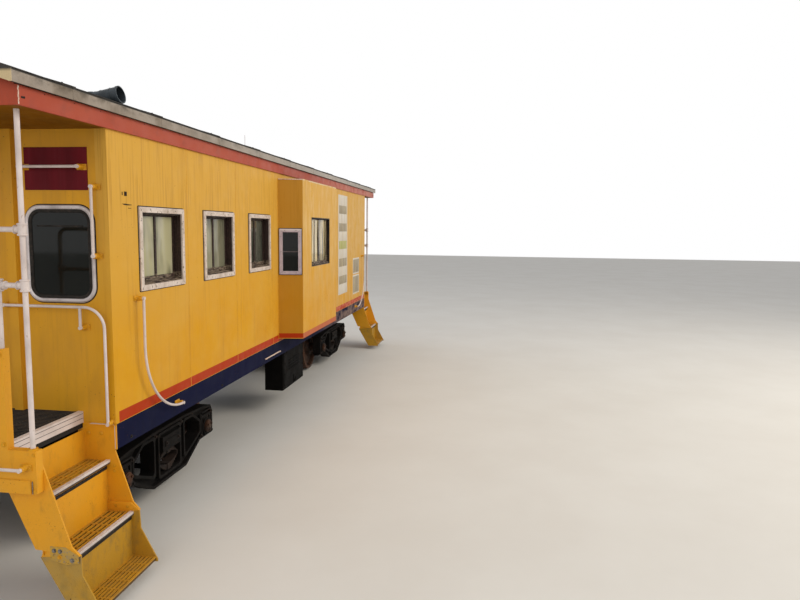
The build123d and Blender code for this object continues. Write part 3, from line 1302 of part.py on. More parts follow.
# Couplers: shank, head with guard arm and the two lugs that hold the knuckle's pin
for end_name, end in ENDS:
    with BuildPart() as coupler:
        with BuildSketch(Plane.XY.offset(COUPLER_Z - SHANK_HEIGHT / 2)):
            with Locations((end * (COUPLER_PIVOT + HEAD_BACK + CASTING_EDGE) / 2, 0)):
                Rectangle(HEAD_BACK + CASTING_EDGE - COUPLER_PIVOT, SHANK_WIDTH)
            with Locations((end * COUPLER_PIVOT, 0)):
                Circle(SHANK_WIDTH / 2)
                Circle(COUPLER_PIN + JOURNAL_CLEARANCE, mode=Mode.SUBTRACT)
        extrude(amount=SHANK_HEIGHT)
        with BuildSketch(Plane.XY.offset(COUPLER_Z - HEAD_HEIGHT / 2)):
            coupler_outline(end, HEAD_OUTLINE)
        extrude(amount=HEAD_HEIGHT)
        with BuildSketch(Plane.XY.offset(COUPLER_Z - SLOT_HEIGHT / 2)):
            with Locations((end * (KNUCKLE_PIN_X + SLOT_SHIFT), end * KNUCKLE_PIN_Y)):
                Rectangle(SLOT_LENGTH, SLOT_WIDTH)
        extrude(amount=SLOT_HEIGHT, mode=Mode.SUBTRACT)
        with BuildSketch(Plane.XY.offset(COUPLER_Z - HEAD_HEIGHT / 2 - PIN_HEAD)):
            with Locations((end * KNUCKLE_PIN_X, end * KNUCKLE_PIN_Y)):
                Circle(KNUCKLE_PIN_RADIUS)
        extrude(amount=HEAD_HEIGHT + 2 * PIN_HEAD)
    coupler.part.label = f"coupler_{end_name}"
    export_step(coupler.part, f"parts/coupler_{end_name}.step")
    with BuildPart() as knuckle:
        with BuildSketch(Plane.XY.offset(COUPLER_Z - KNUCKLE_HEIGHT / 2)):
            coupler_outline(end, KNUCKLE_OUTLINE)
            with Locations((end * KNUCKLE_PIN_X, end * KNUCKLE_PIN_Y)):
                Circle(KNUCKLE_PIN_RADIUS + JOURNAL_CLEARANCE, mode=Mode.SUBTRACT)
        extrude(amount=KNUCKLE_HEIGHT)
    knuckle.part.label = f"knuckle_{end_name}"
    export_step(knuckle.part, f"parts/knuckle_{end_name}.step")

BLOCK_GAP = 5
BLOCK_WIDTH = 120
FRAME_TOP = 690
FRAME_SHOULDER = 665
PEDESTAL_TOP = 632
PEDESTAL_BOTTOM = 305
CHORD_BOTTOM = 130
SPRING_SEAT = 215
WINDOW_TOP = 620
BOLSTER_TOP = CENTRE_SILL_BOTTOM - COVER - CENTRE_PLATE_HEIGHT
BOLSTER_END_BOTTOM = RAIL_TOP + 450
BOLSTER_END_TOP = RAIL_TOP + 600
BOLSTER_CLEARANCE = 20
BOLSTER_TIP = 25
BOLSTER_FLAT = 420
BOLSTER_SEAT = 160
BOLSTER_BELLY = 480
BOLSTER_SAG = 60
BOWL_FLOOR = 25
BOWL_WALL = 35
BOWL_DEPTH = 20
SHOE_WIDTH = 84
SHOE_THICKNESS = 45
SHOE_ANGLE = 32
SHOE_SHARE = 0.62
LEAF_COUNT = 5
LEAF = 9
LEAF_PITCH = 11
LEAF_WIDTH = 100
LEAF_SAG = 48
LEAF_STEP = 30
LEAF_START = 12
LEAF_BAND = 64
BAND_WRAP = 7
SPRING_EYE = 40
BEAM_RADIUS = 24
HANGER_RADIUS = 26
BEAM_DROP = 90

axle = TRUCK_WHEELBASE / 2
column_outer = COLUMN_GAP / 2 + COLUMN_WIDTH
jaw = BEARING_RADIUS - 3
pedestal_outer = axle + jaw + 75
pedestal_inner = axle - jaw - 70
jaw_top = AXLE_Z - RAIL_TOP + BEARING_RADIUS + BEARING_HEADROOM

half_outline = [
    (column_outer, FRAME_TOP),
    (axle - 120, FRAME_SHOULDER),
    (pedestal_outer - 40, PEDESTAL_TOP),
    (pedestal_outer, PEDESTAL_TOP - 70),
    (pedestal_outer, PEDESTAL_BOTTOM),
    (axle + jaw, PEDESTAL_BOTTOM),
    (axle + jaw, jaw_top),
    (axle - jaw, jaw_top),
    (axle - jaw, PEDESTAL_BOTTOM),
    (pedestal_inner, PEDESTAL_BOTTOM),
    (column_outer + 20, CHORD_BOTTOM),
]
FRAME_OUTLINE = half_outline + [(-x, z) for x, z in reversed(half_outline)]
END_WINDOW_OUTLINE = [
    (column_outer, WINDOW_TOP),
    (column_outer + 190, WINDOW_TOP),
    (pedestal_inner, WINDOW_TOP - 110),
    (pedestal_inner, PEDESTAL_BOTTOM + 95),
    (column_outer, SPRING_SEAT + 40),
]
MIDDLE_WINDOW_OUTLINE = [
    (-COLUMN_GAP / 2, WINDOW_TOP),
    (COLUMN_GAP / 2, WINDOW_TOP),
    (COLUMN_GAP / 2, SPRING_SEAT),
    (-COLUMN_GAP / 2, SPRING_SEAT),
]
FRAME_WINDOWS = [
    END_WINDOW_OUTLINE,
    [(-x, z) for x, z in reversed(END_WINDOW_OUTLINE)],
    MIDDLE_WINDOW_OUTLINE,
]


def inset(points, margin):
    """A clockwise outline moved inward by margin, with mitred corners."""
    moved = []
    for before, here, after in zip(points[-1:] + points[:-1], points, points[1:] + points[:1]):
        arriving = (Vector(*here) - Vector(*before)).normalized()
        leaving = (Vector(*after) - Vector(*here)).normalized()
        first = Vector(arriving.Y, -arriving.X)
        second = Vector(leaving.Y, -leaving.X)
        shift = (first + second) * (margin / (1 + first.dot(second)))
        moved.append((here[0] + shift.X, here[1] + shift.Y))
    return moved


def frame_face(points, radius, mode=Mode.ADD):
    """One rounded outline of the side frame on the current sketch, heights counted from the rail."""
    with BuildLine() as outline:
        FilletPolyline([(x, RAIL_TOP + z) for x, z in points], radius=radius, close=True)
    make_face(outline.edges(), mode=mode)


for end_name, end in ENDS:
    truck_x = end * TRUCK_SPACING / 2
    # Side frames: web and rim castings with bearing housings in the pedestal jaws
    with BuildPart() as side_frames:
        for side in (-1, 1):
            outer = side * (FRAME_SPREAD + FRAME_THICKNESS) / 2
            plane = Plane(origin=(truck_x, outer, 0), x_dir=(1, 0, 0), z_dir=(0, -1, 0))
            with BuildSketch(plane):
                frame_face(FRAME_OUTLINE, FRAME_EDGE)
                for window in FRAME_WINDOWS:
                    frame_face(window, FRAME_CORNER, Mode.SUBTRACT)
            extrude(amount=side * FRAME_THICKNESS)
            with BuildSketch(plane):
                frame_face(inset(FRAME_OUTLINE, FRAME_RIM), FRAME_EDGE / 2)
                for window in FRAME_WINDOWS:
                    frame_face(inset(window, -FRAME_RIM), FRAME_CORNER, Mode.SUBTRACT)
            extrude(amount=side * FRAME_RECESS, mode=Mode.SUBTRACT)
            for wheel in (-1, 1):
                x = truck_x + wheel * axle
                middle = side * FRAME_SPREAD / 2
                near = (x, middle - BEARING_LENGTH / 2, AXLE_Z)
                far = (x, middle + BEARING_LENGTH / 2, AXLE_Z)
                arm(near, far, BEARING_RADIUS)
                with BuildSketch(Plane.XY.offset(AXLE_Z + JOURNAL_RADIUS + BLOCK_GAP)):
                    with Locations((x, middle)):
                        Rectangle(BLOCK_WIDTH, BEARING_LENGTH - 2 * PLATE)
                extrude(amount=BEARING_RADIUS - JOURNAL_RADIUS - BLOCK_GAP + BEARING_HEADROOM)
                with BuildSketch(Plane(origin=near, z_dir=(0, 1, 0)), mode=Mode.PRIVATE) as bore:
                    Circle(JOURNAL_RADIUS + JOURNAL_CLEARANCE)
                extrude(bore.sketch, amount=BEARING_LENGTH, mode=Mode.SUBTRACT)
    side_frames.part.label = f"side_frames_{end_name}"
    export_step(side_frames.part, f"parts/side_frames_{end_name}.step")

    # Truck bolster: a beam through both side frames with the centre bowl on top
    with BuildPart() as truck_bolster:
        beam_half = COLUMN_GAP / 2 - BOLSTER_CLEARANCE
        with BuildSketch(Plane.YZ.offset(truck_x - beam_half)):
            tip = (FRAME_SPREAD + FRAME_THICKNESS) / 2 + BOLSTER_TIP
            for side in (-1, 1):
                with BuildLine() as half_beam:
                    Polyline(
                        (0, BOLSTER_TOP - BOWL_FLOOR),
                        (side * BOLSTER_FLAT, BOLSTER_TOP - BOWL_FLOOR),
                        (side * tip, BOLSTER_END_TOP),
                        (side * tip, BOLSTER_END_BOTTOM),
                        (side * (FRAME_SPREAD / 2 - BOLSTER_SEAT), BOLSTER_END_BOTTOM),
                        (side * BOLSTER_BELLY, BOLSTER_END_BOTTOM - BOLSTER_SAG),
                        (0, BOLSTER_END_BOTTOM - BOLSTER_SAG),
                        close=True,
                    )
                make_face(half_beam.edges())
        extrude(amount=2 * beam_half)
        with BuildSketch(Plane.XY.offset(BOLSTER_TOP - BOWL_FLOOR)):
            with Locations((truck_x, 0)):
                Circle(CENTRE_PLATE_RADIUS + BOWL_WALL)
        extrude(amount=BOWL_FLOOR + BOWL_DEPTH)
        with BuildSketch(Plane.XY.offset(BOLSTER_TOP)):
            with Locations((truck_x, 0)):
                Circle(CENTRE_PLATE_RADIUS + BOWL_CLEARANCE)
        extrude(amount=BOWL_DEPTH, mode=Mode.SUBTRACT)
    truck_bolster.part.label = f"truck_bolster_{end_name}"
    export_step(truck_bolster.part, f"parts/truck_bolster_{end_name}.step")

    # Full elliptic leaf springs between the spring seats and the bolster ends, banded in the middle
    with BuildPart() as leaf_springs:
        seat = RAIL_TOP + SPRING_SEAT
        mid = (seat + BOLSTER_END_BOTTOM) / 2
        rise = (BOLSTER_END_BOTTOM - seat) / 2
        reach = COLUMN_GAP / 2 - BOLSTER_CLEARANCE + LEAF
        for side in (-1, 1):
            middle = side * FRAME_SPREAD / 2
            near = Plane(origin=(truck_x, middle - LEAF_WIDTH / 2, mid), x_dir=(1, 0, 0), z_dir=(0, -1, 0))
            with BuildSketch(near):
                for half in (-1, 1):
                    for leaf in range(LEAF_COUNT):
                        long = reach - leaf * LEAF_STEP
                        peak = half * (LEAF_START + leaf * LEAF_PITCH + LEAF_SAG)
                        low = peak - half * LEAF_SAG * (long / reach) ** 2
                        high = low + half * LEAF
                        with BuildLine():
                            ThreePointArc((-long, low), (0, peak), (long, low))
                            Line((long, low), (long, high))
                            ThreePointArc((long, high), (0, peak + half * LEAF), (-long, high))
                            Line((-long, high), (-long, low))
                        make_face()
                with Locations((-reach + LEAF, 0), (reach - LEAF, 0)):
                    Rectangle(2 * LEAF, SPRING_EYE)
            extrude(amount=-LEAF_WIDTH)
            with BuildSketch(near.offset(BAND_WRAP)):
                for half in (-1, 1):
                    start = LEAF_START + LEAF_SAG - BAND_WRAP
                    with Locations((0, half * (start + rise) / 2)):
                        Rectangle(LEAF_BAND, rise - start)
            extrude(amount=-LEAF_WIDTH - 2 * BAND_WRAP)
    leaf_springs.part.label = f"leaf_springs_{end_name}"
    export_step(leaf_springs.part, f"parts/leaf_springs_{end_name}.step")

    # Brake beams between the side frames' columns, with heads and shoes facing the wheel treads
    with BuildPart() as brake_beams:
        shoe_radius = WHEEL_DIAMETER / 2 + RUNNING_GAP
        beam_z = AXLE_Z - BEAM_DROP
        frame_inner = (FRAME_SPREAD - FRAME_THICKNESS) / 2
        for wheel in (-1, 1):
            beam_x = truck_x + wheel * (COLUMN_GAP + COLUMN_WIDTH) / 2
            arm((beam_x, -frame_inner, beam_z), (beam_x, frame_inner, beam_z), BEAM_RADIUS)
            axle_x = truck_x + wheel * axle
            for side in (-1, 1):
                tread = side * (BACK_TO_BACK / 2 + WHEEL_WIDTH * SHOE_SHARE)
                near = tread - SHOE_WIDTH / 2
                with BuildSketch(Plane(origin=(axle_x, near, AXLE_Z), x_dir=(1, 0, 0), z_dir=(0, -1, 0))):
                    with BuildLine():
                        start = 182 if wheel > 0 else -2
                        face = CenterArc((0, 0), shoe_radius, start, wheel * SHOE_ANGLE)
                        back = CenterArc((0, 0), shoe_radius + SHOE_THICKNESS, start, wheel * SHOE_ANGLE)
                        Line(face @ 0, back @ 0)
                        Line(face @ 1, back @ 1)
                    make_face()
                extrude(amount=-SHOE_WIDTH)
                shoe_middle = (axle_x - wheel * (shoe_radius + SHOE_THICKNESS / 2), tread, beam_z - LUG)
                arm((beam_x, tread, beam_z), shoe_middle, HANGER_RADIUS)
    brake_beams.part.label = f"brake_beams_{end_name}"
    export_step(brake_beams.part, f"parts/brake_beams_{end_name}.step")

WHEEL_SECTION = [  # distance out from the wheel's back, radius
    (-25, 0),
    (-25, 138),
    (18, 152),
    (36, 345),
    (4, 366),
    (0, 428),
    (12, WHEEL_DIAMETER / 2 + FLANGE_DEPTH),
    (20, WHEEL_DIAMETER / 2 + FLANGE_DEPTH),
    (36, WHEEL_DIAMETER / 2 + (TAPE_LINE - 36) * TREAD_TAPER),
    (WHEEL_WIDTH, WHEEL_DIAMETER / 2 + (TAPE_LINE - WHEEL_WIDTH) * TREAD_TAPER),
    (WHEEL_WIDTH, 368),
    (84, 346),
    (88, 158),
    (152, 140),
    (152, 0),
]
JOURNAL_START = 915
CAP_START = FRAME_SPREAD / 2 + BEARING_LENGTH / 2 + 5
CAP_END = CAP_START + 22
CAP_RADIUS = 72

# Wheelsets: an axle with its two wheels and bearing end caps
for end_name, end in ENDS:
    for index, position in (("1", -1), ("2", 1)):
        axle_x = end * TRUCK_SPACING / 2 + position * TRUCK_WHEELBASE / 2
        line = Axis((axle_x, 0, AXLE_Z), (0, 1, 0))
        with BuildPart() as wheelset:
            arm((axle_x, -JOURNAL_START, AXLE_Z), (axle_x, JOURNAL_START, AXLE_Z), AXLE_RADIUS)
            arm((axle_x, -CAP_END, AXLE_Z), (axle_x, CAP_END, AXLE_Z), JOURNAL_RADIUS)
            for side in (-1, 1):
                with BuildSketch(Plane(origin=(axle_x, 0, AXLE_Z), x_dir=(1, 0, 0), z_dir=(0, 0, 1))):
                    with BuildLine():
                        back = BACK_TO_BACK / 2
                        Polyline([(r, side * (back + y)) for y, r in WHEEL_SECTION], close=True)
                    make_face()
                revolve(axis=line)
                arm((axle_x, side * CAP_START, AXLE_Z), (axle_x, side * CAP_END, AXLE_Z), CAP_RADIUS)
        wheelset.part.label = f"wheelset_{end_name}{index}"
        export_step(wheelset.part, f"parts/wheelset_{end_name}{index}.step")
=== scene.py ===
import functools
import math
from collections import namedtuple

import bmesh
import bpy
from bpy.props import FloatProperty, FloatVectorProperty, IntProperty, PointerProperty
from mathutils import Matrix, Vector


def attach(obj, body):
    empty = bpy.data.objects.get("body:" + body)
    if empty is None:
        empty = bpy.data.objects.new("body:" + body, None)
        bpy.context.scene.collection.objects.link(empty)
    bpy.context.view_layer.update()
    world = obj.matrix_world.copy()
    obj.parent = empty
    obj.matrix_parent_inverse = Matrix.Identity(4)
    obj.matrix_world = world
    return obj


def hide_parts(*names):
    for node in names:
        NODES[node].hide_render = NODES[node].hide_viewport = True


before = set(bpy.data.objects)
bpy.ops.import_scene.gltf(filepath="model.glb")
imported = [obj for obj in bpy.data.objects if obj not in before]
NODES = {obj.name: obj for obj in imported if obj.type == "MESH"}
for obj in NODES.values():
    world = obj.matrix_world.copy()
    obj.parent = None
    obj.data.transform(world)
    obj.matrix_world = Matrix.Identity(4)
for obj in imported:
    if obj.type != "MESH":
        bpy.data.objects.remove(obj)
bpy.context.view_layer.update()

bl_info = {
    "name": "Bay-window caboose",
    "version": (1, 0, 0),
    "blender": (4, 5, 0),
    "location": "View3D > Sidebar > Caboose",
    "description": "Dresses the caboose's frame with paint, window trim, fittings, fasteners and curtains",
    "category": "Object",
}

# Places on the frame, in metres; heights count from the lowest point of the wheel flanges
ENDS = (("a", -1), ("b", 1))
SIDES = (("right", -1), ("left", 1))
CORNERS = ((-1, -1), (-1, 1), (1, -1), (1, 1))
HALF_LENGTH, HALF_WIDTH, BAY_FACE_Y = 4.9, 1.42, 1.745
FLOOR_TOP, EAVE, FASCIA_TOP, FASCIA_Y, HOOD_END = 1.165, 3.425, 3.545, 1.44, 5.845
SILL_FACE, SILL_BACK, END_SILL_TOP, DECK_TOP = 5.74, 5.675, 1.225, 1.25
BAY_FOOT, BAY_HEAD, BAY_HALF, BAY_SLANT = 1.205, 3.355, 0.93, 0.07
# The side windows' x and width, and the end window's y, z, width, height and corner radius
SIDE_WINDOWS = ((-4.105, 0.780), (-2.903, 0.770), (-1.694, 0.742))
END_WINDOW = (1.008, 2.485, 0.580, 0.746, 0.130)
SIDE_WINDOW_Z, SIDE_WINDOW_HEIGHT, FLANGE_WIDTH, FLANGE_PROUD = 2.517, 0.692, 0.045, 0.015
SLANT_X, SLANT_Y, SLANT_RUN, SLANT_WINDOW_Z, SLANT_WINDOW_SIZE = 0.965, 1.5825, 0.325, 2.387, (0.296, 0.612)
BAY_WINDOW_Z, BAY_WINDOW_SIZE, PANEL_Y, PANEL_Z, JAMB_Y = 2.509, (1.01, 0.685), 0.996, 3.13, 0.397
DOOR_FACE, DOOR_BOTTOM, DOOR_PANE_Z, LATCH_Z = 4.846, 1.26, 2.68, 2.21
STANCHION_X, STANCHION_Y, INNER_POST_Y, ANGLE_POST_Y = 5.708, 1.32, 0.43, 1.13
STRINGER_X, ANGLE_POST_TOP = HALF_LENGTH + 0.012, 1.9
# Each rail's height with the posts that it meets, and the feet of the end wall's handrails as distance and height
RAIL_POSTS = ((2.674, (STANCHION_Y,)), (2.315, (STANCHION_Y, ANGLE_POST_Y, INNER_POST_Y)))
WALL_FEET = ((0.553, 2.086), (1.19, 1.926), (1.318, 2.475), (1.318, 2.994), (0.735, 3.142), (1.212, 3.142))
ROOF_HALF, ROOF_EDGE_TOP, CROWN, ROOF_END = 1.47, 3.63, 3.86, 5.93
ROOF_RADIUS = (ROOF_HALF**2 + (CROWN - ROOF_EDGE_TOP) ** 2) / (2 * (CROWN - ROOF_EDGE_TOP))
TRUCK_X, AXLE_REACH, AXLE_Z = 3.42, 0.84, 0.444
FRAME_FACE_Y, SPRING_Y, CAP_FACE_Y, COLUMN_REACH = 1.08, 1.062, 1.117, 0.265
PEDESTAL_Y, PEDESTAL_Z, TANK_Y, TANK_Z, COUPLER_Z = 1.005, 0.314, 0.88, 0.665, 0.889
# The couplers' pins and knuckle faces as x and y, and the middle of the battery box's door
STRIKER_FACE, KNUCKLE_PIN, KNUCKLE_FACE = 5.795, (6.09, 0.118), (6.163, 0.074)
BATTERY_DOOR = (0.025, 1.308, 0.65)
CURTAIN_Y, CURTAIN_ROD_Z, CURTAIN_DROP, CURTAIN_SPREAD = 1.653, 2.946, 0.8, 0.5
BRAKE_Y, BRAKE_Z, BRAKE_FACE, STAND_FACE, STAND_BACK = 0.78, 2.045, 5.573, 5.691, 5.683
STACK, ANTENNA_X = (-3.44, -0.5), 1.5
# Outlines as distance from the middle and height: the steps' outer splice plate and inner lap plate. The lamp
# bracket's outline counts from its own middle.
SPLICE_PLATE = ((1.385, 0.548), (1.5, 0.548), (1.592, 0.496), (1.592, 0.44), (1.5, 0.425), (1.385, 0.452))
LAP_PLATE = ((1.305, 0.456), (1.6, 0.489), (1.53, 0.548), (1.34, 0.548))
LAMP_BRACKET = ((-0.07, 0.003), (-0.02, 0.006), (0.02, 0.002), (0.068, 0.001), (0.07, -0.003), (0.01, -0.006))
LAMP_BRACKET += ((-0.03, -0.005),)

# How every edge is rounded, the angle in radians over which an edge stays sharp, and the gap that is closed
EASED = {"segments": 2, "profile": 0.5, "affect": "EDGES", "material": -1}
CREASE, WELD = 0.6, 1e-5
# The colour mix node's sockets, which share their names between data types
MIX_FACTOR, MIX_BELOW, MIX_ABOVE, MIX_RESULT = 0, 6, 7, 2


def linear(hex_colour):
    """Linear RGBA of an sRGB hex value such as #D9A03A."""
    channels = [int(hex_colour[i : i + 2], 16) / 255 for i in (1, 3, 5)]
    return tuple(c / 12.92 if c <= 0.04045 else ((c + 0.055) / 1.055) ** 2.4 for c in channels) + (1.0,)


def add_node(tree, kind, sockets=None, **settings):
    """Add a node with its settings, and set or link each named socket."""
    node = tree.nodes.new(kind)
    for name, value in settings.items():
        setattr(node, name, value)
    for key, value in (sockets or {}).items():
        if isinstance(value, bpy.types.NodeSocket):
            tree.links.new(value, node.inputs[key])
        else:
            node.inputs[key].default_value = value
    return node


# A pattern is a grain whose blotches are size millimetres across, or a band along one axis. Both run from 0 at
# low to 1 at high; stretch draws the grain out along X, Y and Z, and far counts a band's axis from the middle.
Grain = namedtuple("Grain", "size low high stretch detail", defaults=(0.3, 0.7, (1, 1, 1), 4))
Band = namedtuple("Band", "axis low high far", defaults=(False,))


def mask_of(tree, place, pattern):
    """The mask that a pattern gives at each place."""
    if isinstance(pattern, Grain):
        scale = [1000 / (pattern.size * share) for share in pattern.stretch]
        mapped = add_node(tree, "ShaderNodeMapping", {"Vector": place, "Scale": scale}).outputs["Vector"]
        sockets = {"Vector": mapped, "Scale": 1.0, "Detail": pattern.detail, "Roughness": 0.6}
        source = add_node(tree, "ShaderNodeTexNoise", sockets).outputs["Fac"]
    else:
        source = add_node(tree, "ShaderNodeSeparateXYZ", {"Vector": place}).outputs[pattern.axis]
        if pattern.far:
            source = add_node(tree, "ShaderNodeMath", {0: source}, operation="ABSOLUTE").outputs[0]
    sockets = {"Value": source, "From Min": pattern.low, "From Max": pattern.high}
    return add_node(tree, "ShaderNodeMapRange", sockets).outputs["Result"]


def colour_of(value):
    """A colour from a hex value or from the panel's colour of that name."""
    return linear(value) if value.startswith("#") else (*getattr(bpy.context.scene.caboose_paint, value), 1.0)


def make_finish(name, ground, layers, rough, relief=None, depth=0.0, **shader):
    """A finish: colours laid over a ground, each where all its patterns run high, and a grain in relief.

    Each layer is its colour, its strength and its patterns. The relief's depth is in millimetres."""
    material = bpy.data.materials.new(name)
    material.use_nodes = True
    tree = material.node_tree
    tree.nodes.clear()
    place = add_node(tree, "ShaderNodeTexCoord").outputs["Object"]
    masks = {}
    colour = colour_of(ground)
    for cover, strength, *patterns in layers:
        mask = strength
        for pattern in patterns:
            if pattern not in masks:
                masks[pattern] = mask_of(tree, place, pattern)
            mask = add_node(tree, "ShaderNodeMath", {0: mask, 1: masks[pattern]}, operation="MULTIPLY").outputs[0]
        sockets = {MIX_FACTOR: mask, MIX_BELOW: colour, MIX_ABOVE: colour_of(cover)}
        colour = add_node(tree, "ShaderNodeMix", sockets, data_type="RGBA").outputs[MIX_RESULT]
    uneven = mask_of(tree, place, Grain(180))
    sockets = {"Value": uneven, "To Min": rough[0], "To Max": rough[1]}
    inputs = {"Base Color": colour, "Roughness": add_node(tree, "ShaderNodeMapRange", sockets).outputs["Result"]}
    # Coats this old and dusty shine less than fresh ones
    inputs["Specular IOR Level"] = 0.3
    inputs.update({key.replace("_", " "): value for key, value in shader.items()})
    if relief:
        height = mask_of(tree, place, relief)
        bump = add_node(tree, "ShaderNodeBump", {"Height": height, "Distance": depth / 1000, "Strength": 1.0})
        inputs["Normal"] = bump.outputs["Normal"]
    surface = add_node(tree, "ShaderNodeBsdfPrincipled", inputs)
    add_node(tree, "ShaderNodeOutputMaterial", {"Surface": surface.outputs["BSDF"]})
    return material


# Wear that the enamels share. Rain runs are 30 and 160 mm apart and long in Z; chips are about 20 mm, drawn
# larger than the real 5 mm ones, which would not show, and each has a rusty halo.
RUNS, WIDE_RUNS = Grain(30, 0.5, 0.72, (1, 1, 26), 5), Grain(160, 0.42, 0.62, (1, 1, 9))
BLEACH = Grain(900, 0.4, 0.72, detail=3)
PATCHES = Grain(500, 0.5, 0.62, detail=2)
CHIPS, HALOS = Grain(20, 0.67, 0.7, detail=7), Grain(20, 0.62, 0.7, detail=7)
CHIPPED = (("#8A5A22", 0.4, HALOS, PATCHES), ("#4A2A18", 1.0, CHIPS, PATCHES))
SOOTED = Grain(240, 0.45, 0.8, (1, 1, 2.5), 5)
FLAT_FACE, SLANT_FACE = Band("Y", 1.738, 1.744, True), Band("Y", 1.744, 1.738, True)
# The cabin's lining is dark, so that its paint does not show through the panes
CABIN = (Band("Y", 1.36, 1.358, True), Band("X", 4.9, 4.899, True))
BAY_INSIDE = (Band("Y", 1.676, 1.674, True), Band("X", 0.87, 0.868, True))
END_INSIDE = (Band("X", 4.802, 4.8, True),)
EDGE = (Band("Y", 1.4685, 1.4695, True), Band("Z", 3.614, 3.611))
MEETING_RAIL = (
    Band("Y", 1.483, 1.484, True),
    Band("Y", 1.682, 1.681, True),
    Band("Z", 2.34, 2.341),
    Band("Z", 2.44, 2.439),
)
SIDE_PANES = (Band("Y", 1.42, 1.415, True), Band("X", 4.7, 4.695, True))
BAY_PANES = (Band("Y", 1.66, 1.67, True), Band("X", 0.6, 0.595, True))


def striped(low, high, reach):
    """The stripe's patterns: sprayed between masked edges that have gone 3 mm soft."""
    edges = (Band("Z", low - 0.0015, low + 0.0015), Band("Z", high + 0.0015, high - 0.0015))
    return edges + (Band("X", reach + 0.001, reach - 0.001, True),)


def body_layers(low, high, reach, inside):
    """Layers of the body's yellow: bleached, with pale streaks towards end b that are painted sheen, rain-streaked,
    striped and chipped.
    """
    far = Band("X", -1.5, 4.5)
    stripe = striped(low, high, reach)
    return (
        ("bleached_yellow", 0.6, BLEACH),
        ("bleached_yellow", 0.75, Band("Z", 1.7, 2.7)),
        ("#CC8C14", 0.5, Band("Z", 2.3, 1.3), Grain(420, 0.35, 0.65)),
        # Painted sheen: pale streaks towards end b
        ("#D3AC66", 0.6, far, Grain(190, 0.36, 0.6, (1, 1, 3.5), 5)),
        ("#E0C48C", 0.4, far, Grain(60, 0.54, 0.68, (1, 1, 7), 6)),
        ("#96691F", 0.42, Grain(20, 0.56, 0.66, (1, 1, 40), 2), Band("Z", 2.35, 3.1), Band("X", 0.5, -1.5)),
        ("#A9772A", 0.5, RUNS, WIDE_RUNS),
        ("stripe", 1.0, *stripe),
        # Painted sheen: the stripe paler towards end b
        ("#D98A6C", 0.55, Band("X", -0.9, 1.5), Grain(60, 0.4, 0.62, (2, 1, 1)), *stripe),
        *CHIPPED,
        ("#241F1B", 1.0, *inside),
    )


def coat(ground, *layers, **settings):
    """A finish's recipe: its ground, the layers over it and how its surface shines."""
    return {"ground": ground, "layers": layers, **settings}


def rusted(dark, light, dust="#6E6152", rough=(0.7, 0.9), **shader):
    """A recipe for cast or rolled steel rusted evenly, with oily dust on it; the sand grain shows at 7 mm."""
    return coat(
        dark,
        (light, 1.0, Grain(220, 0.42, 0.66, detail=6)),
        (dust, 0.8, Grain(50, 0.6, 0.74, detail=5)),
        ("#4A2C1A", 0.6, Grain(7, 0.66, 0.78)),
        **{"rough": rough, "relief": Grain(7), "depth": 1.6, **shader},
    )


def off_white(*yellow, dark=()):
    """A recipe for thick brushed enamel on pipe, rusting at knocks; yellow in its bands, and dark layers on top."""
    return coat(
        "off_white",
        ("#B9ACA6", 0.9, Grain(250, 0.4, 0.75)),
        *((("yellow", 1.0, *yellow),) if yellow else ()),
        ("#9A7A5E", 0.8, Grain(16, 0.63, 0.72, (1, 1, 2.2), 6)),
        ("#5A3A28", 1.0, Grain(16, 0.71, 0.76, (1, 1, 2.2), 6)),
        *dark,
        **{"rough": (0.34, 0.52), "relief": Grain(6), "depth": 0.5},
    )


def vinyl(colour):
    """A recipe for a sun-faded vinyl sheet: streaked, crazed at 12 mm and almost matt."""
    return coat(
        colour,
        ("#CFC09A", 0.5, Grain(36, 0.42, 0.62, (1, 1, 14))),
        ("#D6B878", 0.7, Grain(12, 0.6, 0.68, (1, 1, 2), 6)),
        ("#8F7A52", 0.5, RUNS),
        **{"rough": (0.5, 0.7), "relief": Grain(12, 0.4, 0.6), "depth": 0.3},
    )


